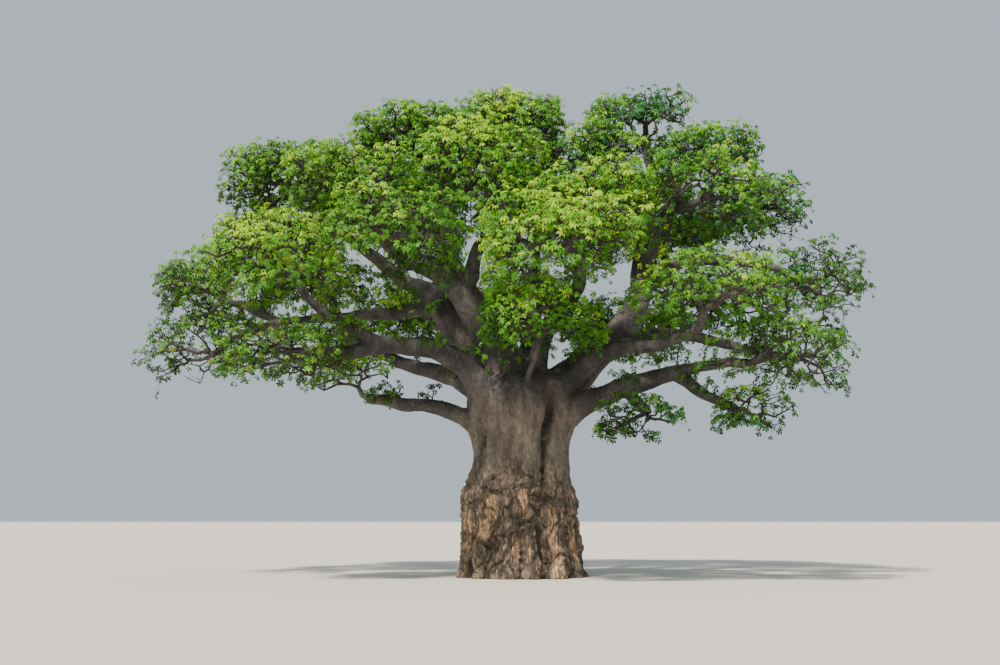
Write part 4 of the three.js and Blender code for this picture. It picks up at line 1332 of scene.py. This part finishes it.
def make_bark(settings, crown):
    """The trunk, limbs and stems as one skin, with the bark's relief, the shares of its finishes and its
    painted shade.
    """
    bm = bark_solid(crown)
    mesh = bpy.data.meshes.new("rough_bark")
    bm.to_mesh(mesh)
    bm.free()
    blended = [
        ("REMESH", {"mode": "VOXEL", "voxel_size": settings.grain}),
        ("SMOOTH", {"factor": 0.5, "iterations": settings.blend_rounds}),
    ]
    mesh = applied("rough_bark", mesh, blended)
    points = np.empty((len(mesh.vertices), 3))
    mesh.vertices.foreach_get("co", points.ravel())
    normals = np.empty((len(mesh.vertices), 3))
    mesh.vertex_normals.foreach_get("vector", normals.ravel())
    relief, shares = bark_relief(points)
    points += normals * (relief * settings.relief)[:, None]
    mesh.vertices.foreach_set("co", points.ravel())
    for name, values in shares.items():
        mesh.attributes.new(name, "FLOAT", "POINT").data.foreach_set("value", values.astype(np.float32))
    bm = bmesh.new()
    bm.from_mesh(mesh)
    cut_flat(bm)
    bmesh.ops.triangulate(bm, faces=bm.faces)
    for face in bm.faces:
        face.smooth = True
    bm.to_mesh(mesh)
    bm.free()
    kept = min(1, settings.triangles / len(mesh.polygons))
    mesh = applied("rough_bark", mesh, [("DECIMATE", {"ratio": kept})])
    for vertex in mesh.vertices:
        vertex.co.z = max(vertex.co.z, 0)
    return mesh


# Settings


class BarkSettings(bpy.types.PropertyGroup):
    """Sizes and colours of the trunk and boughs"""

    grain: number_setting("Grain", "Size of the rough bark's faces", 0.042, min=0.02, unit="LENGTH")
    triangles: count_setting("Triangles", "Faces that the finished bark keeps", 190000, min=1000)
    blend_rounds: count_setting("Blend", "How far limbs melt into each other", 10, min=0)
    relief: number_setting("Relief", "Depth of plates, tears and creases", 1, min=0, subtype="FACTOR")
    limb_dark: colour_setting("Limb Dark", "Dark clouds on the limbs", "#363436")
    limb_light: colour_setting("Limb Light", "Light clouds on the limbs", "#5c5654")
    trunk_dark: colour_setting("Trunk Dark", "Grey skin of the trunk", "#504844")
    trunk_light: colour_setting("Trunk Light", "Warm streaks down the trunk", "#928478")
    scaly_dark: colour_setting("Scaly Dark", "Old scales at the foot", "#584d46")
    scaly_light: colour_setting("Scaly Light", "Worn scales at the foot", "#a38e7a")
    torn_dark: colour_setting("Torn Dark", "Inner bark in shade", "#6f5b4b")
    torn_light: colour_setting("Torn Light", "Inner bark freshly torn", "#dfba90")
    # painted shade: the colour that the bark's cracks and creases darken towards
    crevice_shade: colour_setting("Crevice", "Down in the creases and cracks", "#211d1b")


class CrownSettings(bpy.types.PropertyGroup):
    """Sizes and colours of the branches, twigs and leaves"""

    tufts: count_setting("Tufts", "Tufts in a mass 6 m across", 82, min=1)
    hands: count_setting("Hands", "Leaf hands in a middling tuft", 25, min=LEAST_HANDS)
    tuft_radius: number_setting("Tuft Radius", "Radius of a middling tuft", 0.74, unit="LENGTH")
    spacing: number_setting("Tuft Spacing", "Between tufts, in radii", 0.72, subtype="FACTOR")
    lowest: number_setting("Lowest Tuft", "1 is right above a mass's middle, -1 right below it", -0.6)
    parting: number_setting("Parting", "Space kept open at the border of two masses", 0.3, unit="LENGTH")
    limb_room: number_setting("Limb Room", "Clear space round the limbs", 0.15, unit="LENGTH")
    stray: number_setting("Stray", "How far a hand may stray past its mass's solid", 0.2, unit="LENGTH")
    darts: count_setting("Darts", "Places tried for tufts in a mass", 1500)
    shoots: number_setting("Shoots", "Leafy shoots on a metre of limb", 1.1, min=0)
    twig_radius: number_setting("Twig Radius", "Radius of the last twigs", 0.011, unit="LENGTH")
    leaflet_length: number_setting("Leaflet Length", "Length of a leaflet", 0.172, unit="LENGTH")
    leaflets: count_setting("Leaflets", "Leaflets in a hand", 6, min=3)
    twig: colour_setting("Twigs", "Young bark", "#37332f")
    # partly painted shade: the deep tint goes to old leaves and to where tints are deepened for shade, on
    # masses' undersides and backs
    deep: colour_setting("Deep", "Old leaves in the crown's depth", "#35561d")
    green: colour_setting("Green", "Full-grown leaves", "#467a26")
    cool: colour_setting("Cool", "Bluish leaves at the top and to the right", "#3a7a48")
    olive: colour_setting("Olive", "Dull leaves to the left", "#6c8232")
    # partly painted light: the fresh and young tints go to new leaves and to where tints are brightened for
    # light, on masses' upper sides and fronts
    fresh: colour_setting("Fresh", "Leaves of this season", "#68a22e")
    young: colour_setting("Young", "Leaves just unfolded, in the sun", "#a4ca38")


class StageSettings(bpy.types.PropertyGroup):
    """The floor, the light and the camera"""

    floor: colour_setting("Floor", "The plain floor", "#cfcac0")
    sky: colour_setting("Sky", "The soft light from all round", "#cfdce6")
    sky_strength: number_setting("Sky Strength", "Soft light", 0.85, min=0)
    sunlight: colour_setting("Sunlight", "The main light", "#fff6e8")
    sun_strength: number_setting("Sun Strength", "Main light", 7.2, min=0)
    sun_tilt: number_setting("Sun Tilt", "How far it is from overhead", math.radians(40), subtype="ANGLE")
    sun_turn: number_setting("Sun Turn", "How far it is to the left", math.radians(28), subtype="ANGLE")
    eye_distance: number_setting("Eye Distance", "From the viewer to the trunk", 50, unit="LENGTH")
    eye_height: number_setting("Eye Height", "Of the viewer's eye above the ground", 2.2, unit="LENGTH")
    eye_aside: number_setting("Eye Aside", "How far the viewer stands to the left", 0.7525, unit="LENGTH")
    eye_tilt: number_setting("Eye Tilt", "How far the view looks up", math.radians(7.56), subtype="ANGLE")
    lens: number_setting("Lens", "Focal length in millimetres", 49.5, min=1)


# Operators

TWIG_ROUGHNESS = 0.85  # young bark is dull and grey
FLOOR_ROUGHNESS = 0.9  # matt paint
SENSOR_WIDTH = 36  # millimetres
FLOOR_REACH = 400  # from its middle to its edges
SUN_SOFTNESS = math.radians(4)  # the sun's width, which softens the edges of its shadows

TINTS = ("deep", "green", "cool", "olive", "fresh", "young")
YOUTH = 0.38  # how young a middling hand of leaves is, between 0 and 1
BACK_PAINTED_SHADE = 0.008  # painted shade: how much deeper the tints are, for each metre further back, away from the light
YOUTH_HIGH, CROWN_MIDDLE = 0.003, 11  # and how much deeper, for each metre above that height
TOP_PAINTED_LIGHT = 0.24  # painted light: how much younger and brighter the tints are on a mass's upper side, and deeper on its underside
YOUTH_PATCH, PATCH_WAVES = 0.35, 0.5  # how much that differs in patches, and their number in a metre
YOUTH_SCATTER = 0.12  # how much it differs from hand to hand
DEEP_BELOW, FRESH_ABOVE, YOUNG_ABOVE = 0.22, 0.48, 0.72  # the youth, with painted light and shade, that each of these tints takes
OLIVE_SIDE, OLIVE_SHARE = -5, 0.25  # how far left the olive leaves begin, and their share there


class BAOBAB_OT_bark(bpy.types.Operator):
    """Grows the trunk and boughs as one skin with the bark's relief"""

    bl_idname = "baobab.bark"
    bl_label = "Grow Trunk and Boughs"

    def execute(self, context):
        settings = context.scene.baobab_bark
        mesh = make_bark(settings, grow_crown(crown_sizes(context.scene.baobab_crown)))
        piece = object_of("trunk_and_boughs", mesh, bark_material("baobab_bark_folded", settings))
        dress(piece, ["trunk", *LIMBS])
        return {"FINISHED"}


class BAOBAB_OT_branches(bpy.types.Operator):
    """Grows the branches and twigs of each part of the crown"""

    bl_idname = "baobab.branches"
    bl_label = "Grow Branches and Twigs"

    def execute(self, context):
        settings = context.scene.baobab_crown
        crown = grow_crown(crown_sizes(settings))
        bark = plain_material("baobab_bark_young", settings.twig, TWIG_ROUGHNESS)
        for region in REGIONS:
            names = [name for name, mass in MASSES.items() if mass.region == region]
            shapes = branch_shapes([branch for name in names for branch in crown[name].branches])
            mesh = mesh_of_triangles(f"branches_{region}", *joined(shapes))
            dress(object_of(f"branches_{region}", mesh, bark), names)
            ends = np.concatenate([twig for name in names for twig in crown[name].twigs])
            mesh = mesh_of_triangles(f"twigs_{region}", *spikes(ends[:, :3], ends[:, 3:6], ends[:, 6]))
            dress(object_of(f"twigs_{region}", mesh, bark), names)
        return {"FINISHED"}


def tints_of(hands, mass, rng):
    """A tint for each leaf hand: younger in patches, with painted light brightening a mass's upper side and,
    a little, its front, and painted shade deepening its underside and back.
    """
    x, y, z = hands[:, 0], hands[:, 1], hands[:, 2]
    patch = sampled(noise.noise, hands[:, :3] * PATCH_WAVES)
    upper = (z - mass.middle[2]) / mass.half[2]
    # youth_and_light mixes the leaves' own age with painted light in front and on a mass's upper side, and
    # painted shade behind and on its underside
    youth_and_light = YOUTH + mass.young - BACK_PAINTED_SHADE * y - YOUTH_HIGH * (z - CROWN_MIDDLE)
    youth_and_light = youth_and_light + TOP_PAINTED_LIGHT * upper + YOUTH_PATCH * patch
    youth_and_light = youth_and_light + rng.normal(0, YOUTH_SCATTER, len(hands))
    chance = rng.uniform(size=len(hands))
    tint = np.full(len(hands), "green", dtype=object)
    tint[chance < mass.cool] = "cool"
    tint[(x < OLIVE_SIDE) & (chance > 1 - OLIVE_SHARE)] = "olive"
    tint[youth_and_light < DEEP_BELOW] = "deep"
    tint[youth_and_light > FRESH_ABOVE] = "fresh"
    tint[youth_and_light > YOUNG_ABOVE] = "young"
    return tint


class BAOBAB_OT_leaves(bpy.types.Operator):
    """Hangs the hands of leaves on their twigs, dealt out in six tints"""

    bl_idname = "baobab.leaves"
    bl_label = "Hang Leaves"

    def execute(self, context):
        settings = context.scene.baobab_crown
        crown = grow_crown(crown_sizes(settings))
        materials = {tint: leaf_material(f"baobab_leaf_{tint}", getattr(settings, tint)) for tint in TINTS}
        rng = np.random.default_rng(SEED)
        for region in REGIONS:
            names = [name for name, mass in MASSES.items() if mass.region == region]
            by_mass = {name: np.concatenate(crown[name].hands) for name in names}
            tints = np.concatenate([tints_of(hands, MASSES[name], rng) for name, hands in by_mass.items()])
            hands = np.concatenate(list(by_mass.values()))
            for tint, material in materials.items():
                chosen = hands[tints == tint]
                if len(chosen) == 0:
                    continue
                shape = leaf_hands(chosen, settings.leaflet_length, settings.leaflets, rng)
                mesh = mesh_of_triangles(f"leaves_{region}_{tint}", *shape)
                dress(object_of(f"leaves_{region}_{tint}", mesh, material), names)
        return {"FINISHED"}


class BAOBAB_OT_stage(bpy.types.Operator):
    """Sets the plain floor, the soft light and the camera"""

    bl_idname = "baobab.stage"
    bl_label = "Set Stage"

    def execute(self, context):
        settings = context.scene.baobab_stage
        bm = bmesh.new()
        bmesh.ops.create_grid(bm, x_segments=1, y_segments=1, size=FLOOR_REACH)
        mesh = bpy.data.meshes.new("floor")
        bm.to_mesh(mesh)
        bm.free()
        paint = plain_material("floor_paint_pale", settings.floor, FLOOR_ROUGHNESS)
        object_of("floor", mesh, paint)

        world = bpy.data.worlds.new("soft_sky")
        world.use_nodes = True
        background = world.node_tree.nodes["Background"]
        background.inputs["Color"].default_value = (*settings.sky, 1)
        background.inputs["Strength"].default_value = settings.sky_strength
        context.scene.world = world

        light = bpy.data.lights.new("sun", "SUN")
        light.energy = settings.sun_strength
        light.angle = SUN_SOFTNESS
        light.color = settings.sunlight
        sun = bpy.data.objects.new("sun", light)
        sun.rotation_euler = (settings.sun_tilt, 0, -settings.sun_turn)
        context.scene.collection.objects.link(sun)

        camera = bpy.data.cameras.new("camera")
        camera.sensor_width = SENSOR_WIDTH
        camera.lens = settings.lens
        eye = bpy.data.objects.new("camera", camera)
        eye.location = (-settings.eye_aside, -settings.eye_distance, settings.eye_height)
        eye.rotation_euler = (math.pi / 2 + settings.eye_tilt, 0, 0)
        context.scene.collection.objects.link(eye)
        context.scene.camera = eye
        return {"FINISHED"}


class BAOBAB_PT_tree(bpy.types.Panel):
    """The baobab's pieces, sizes and colours, in the sidebar"""

    bl_idname = "BAOBAB_PT_tree"
    bl_label = "Baobab"
    bl_space_type = "VIEW_3D"
    bl_region_type = "UI"
    bl_category = "Baobab"

    def draw(self, context):
        for operator in OPERATORS:
            self.layout.operator(operator.bl_idname)
        for group in SETTINGS:
            settings = getattr(context.scene, group)
            column = self.layout.column()
            for name in settings.__annotations__:
                column.prop(settings, name)


SETTINGS = {"baobab_stage": StageSettings, "baobab_bark": BarkSettings, "baobab_crown": CrownSettings}
OPERATORS = (BAOBAB_OT_stage, BAOBAB_OT_bark, BAOBAB_OT_branches, BAOBAB_OT_leaves)
CLASSES = (*SETTINGS.values(), *OPERATORS, BAOBAB_PT_tree)


def register():
    """Adds the classes and their settings to Blender."""
    for cls in CLASSES:
        bpy.utils.register_class(cls)
    for name, settings in SETTINGS.items():
        setattr(bpy.types.Scene, name, bpy.props.PointerProperty(type=settings))


def unregister():
    """Takes the classes and their settings away again."""
    for name in SETTINGS:
        delattr(bpy.types.Scene, name)
    for cls in reversed(CLASSES):
        bpy.utils.unregister_class(cls)


def main():
    """Builds the stage and the tree."""
    register()
    bpy.ops.baobab.stage()
    bpy.ops.baobab.bark()
    bpy.ops.baobab.branches()
    bpy.ops.baobab.leaves()


if __name__ == "__main__":
    main()
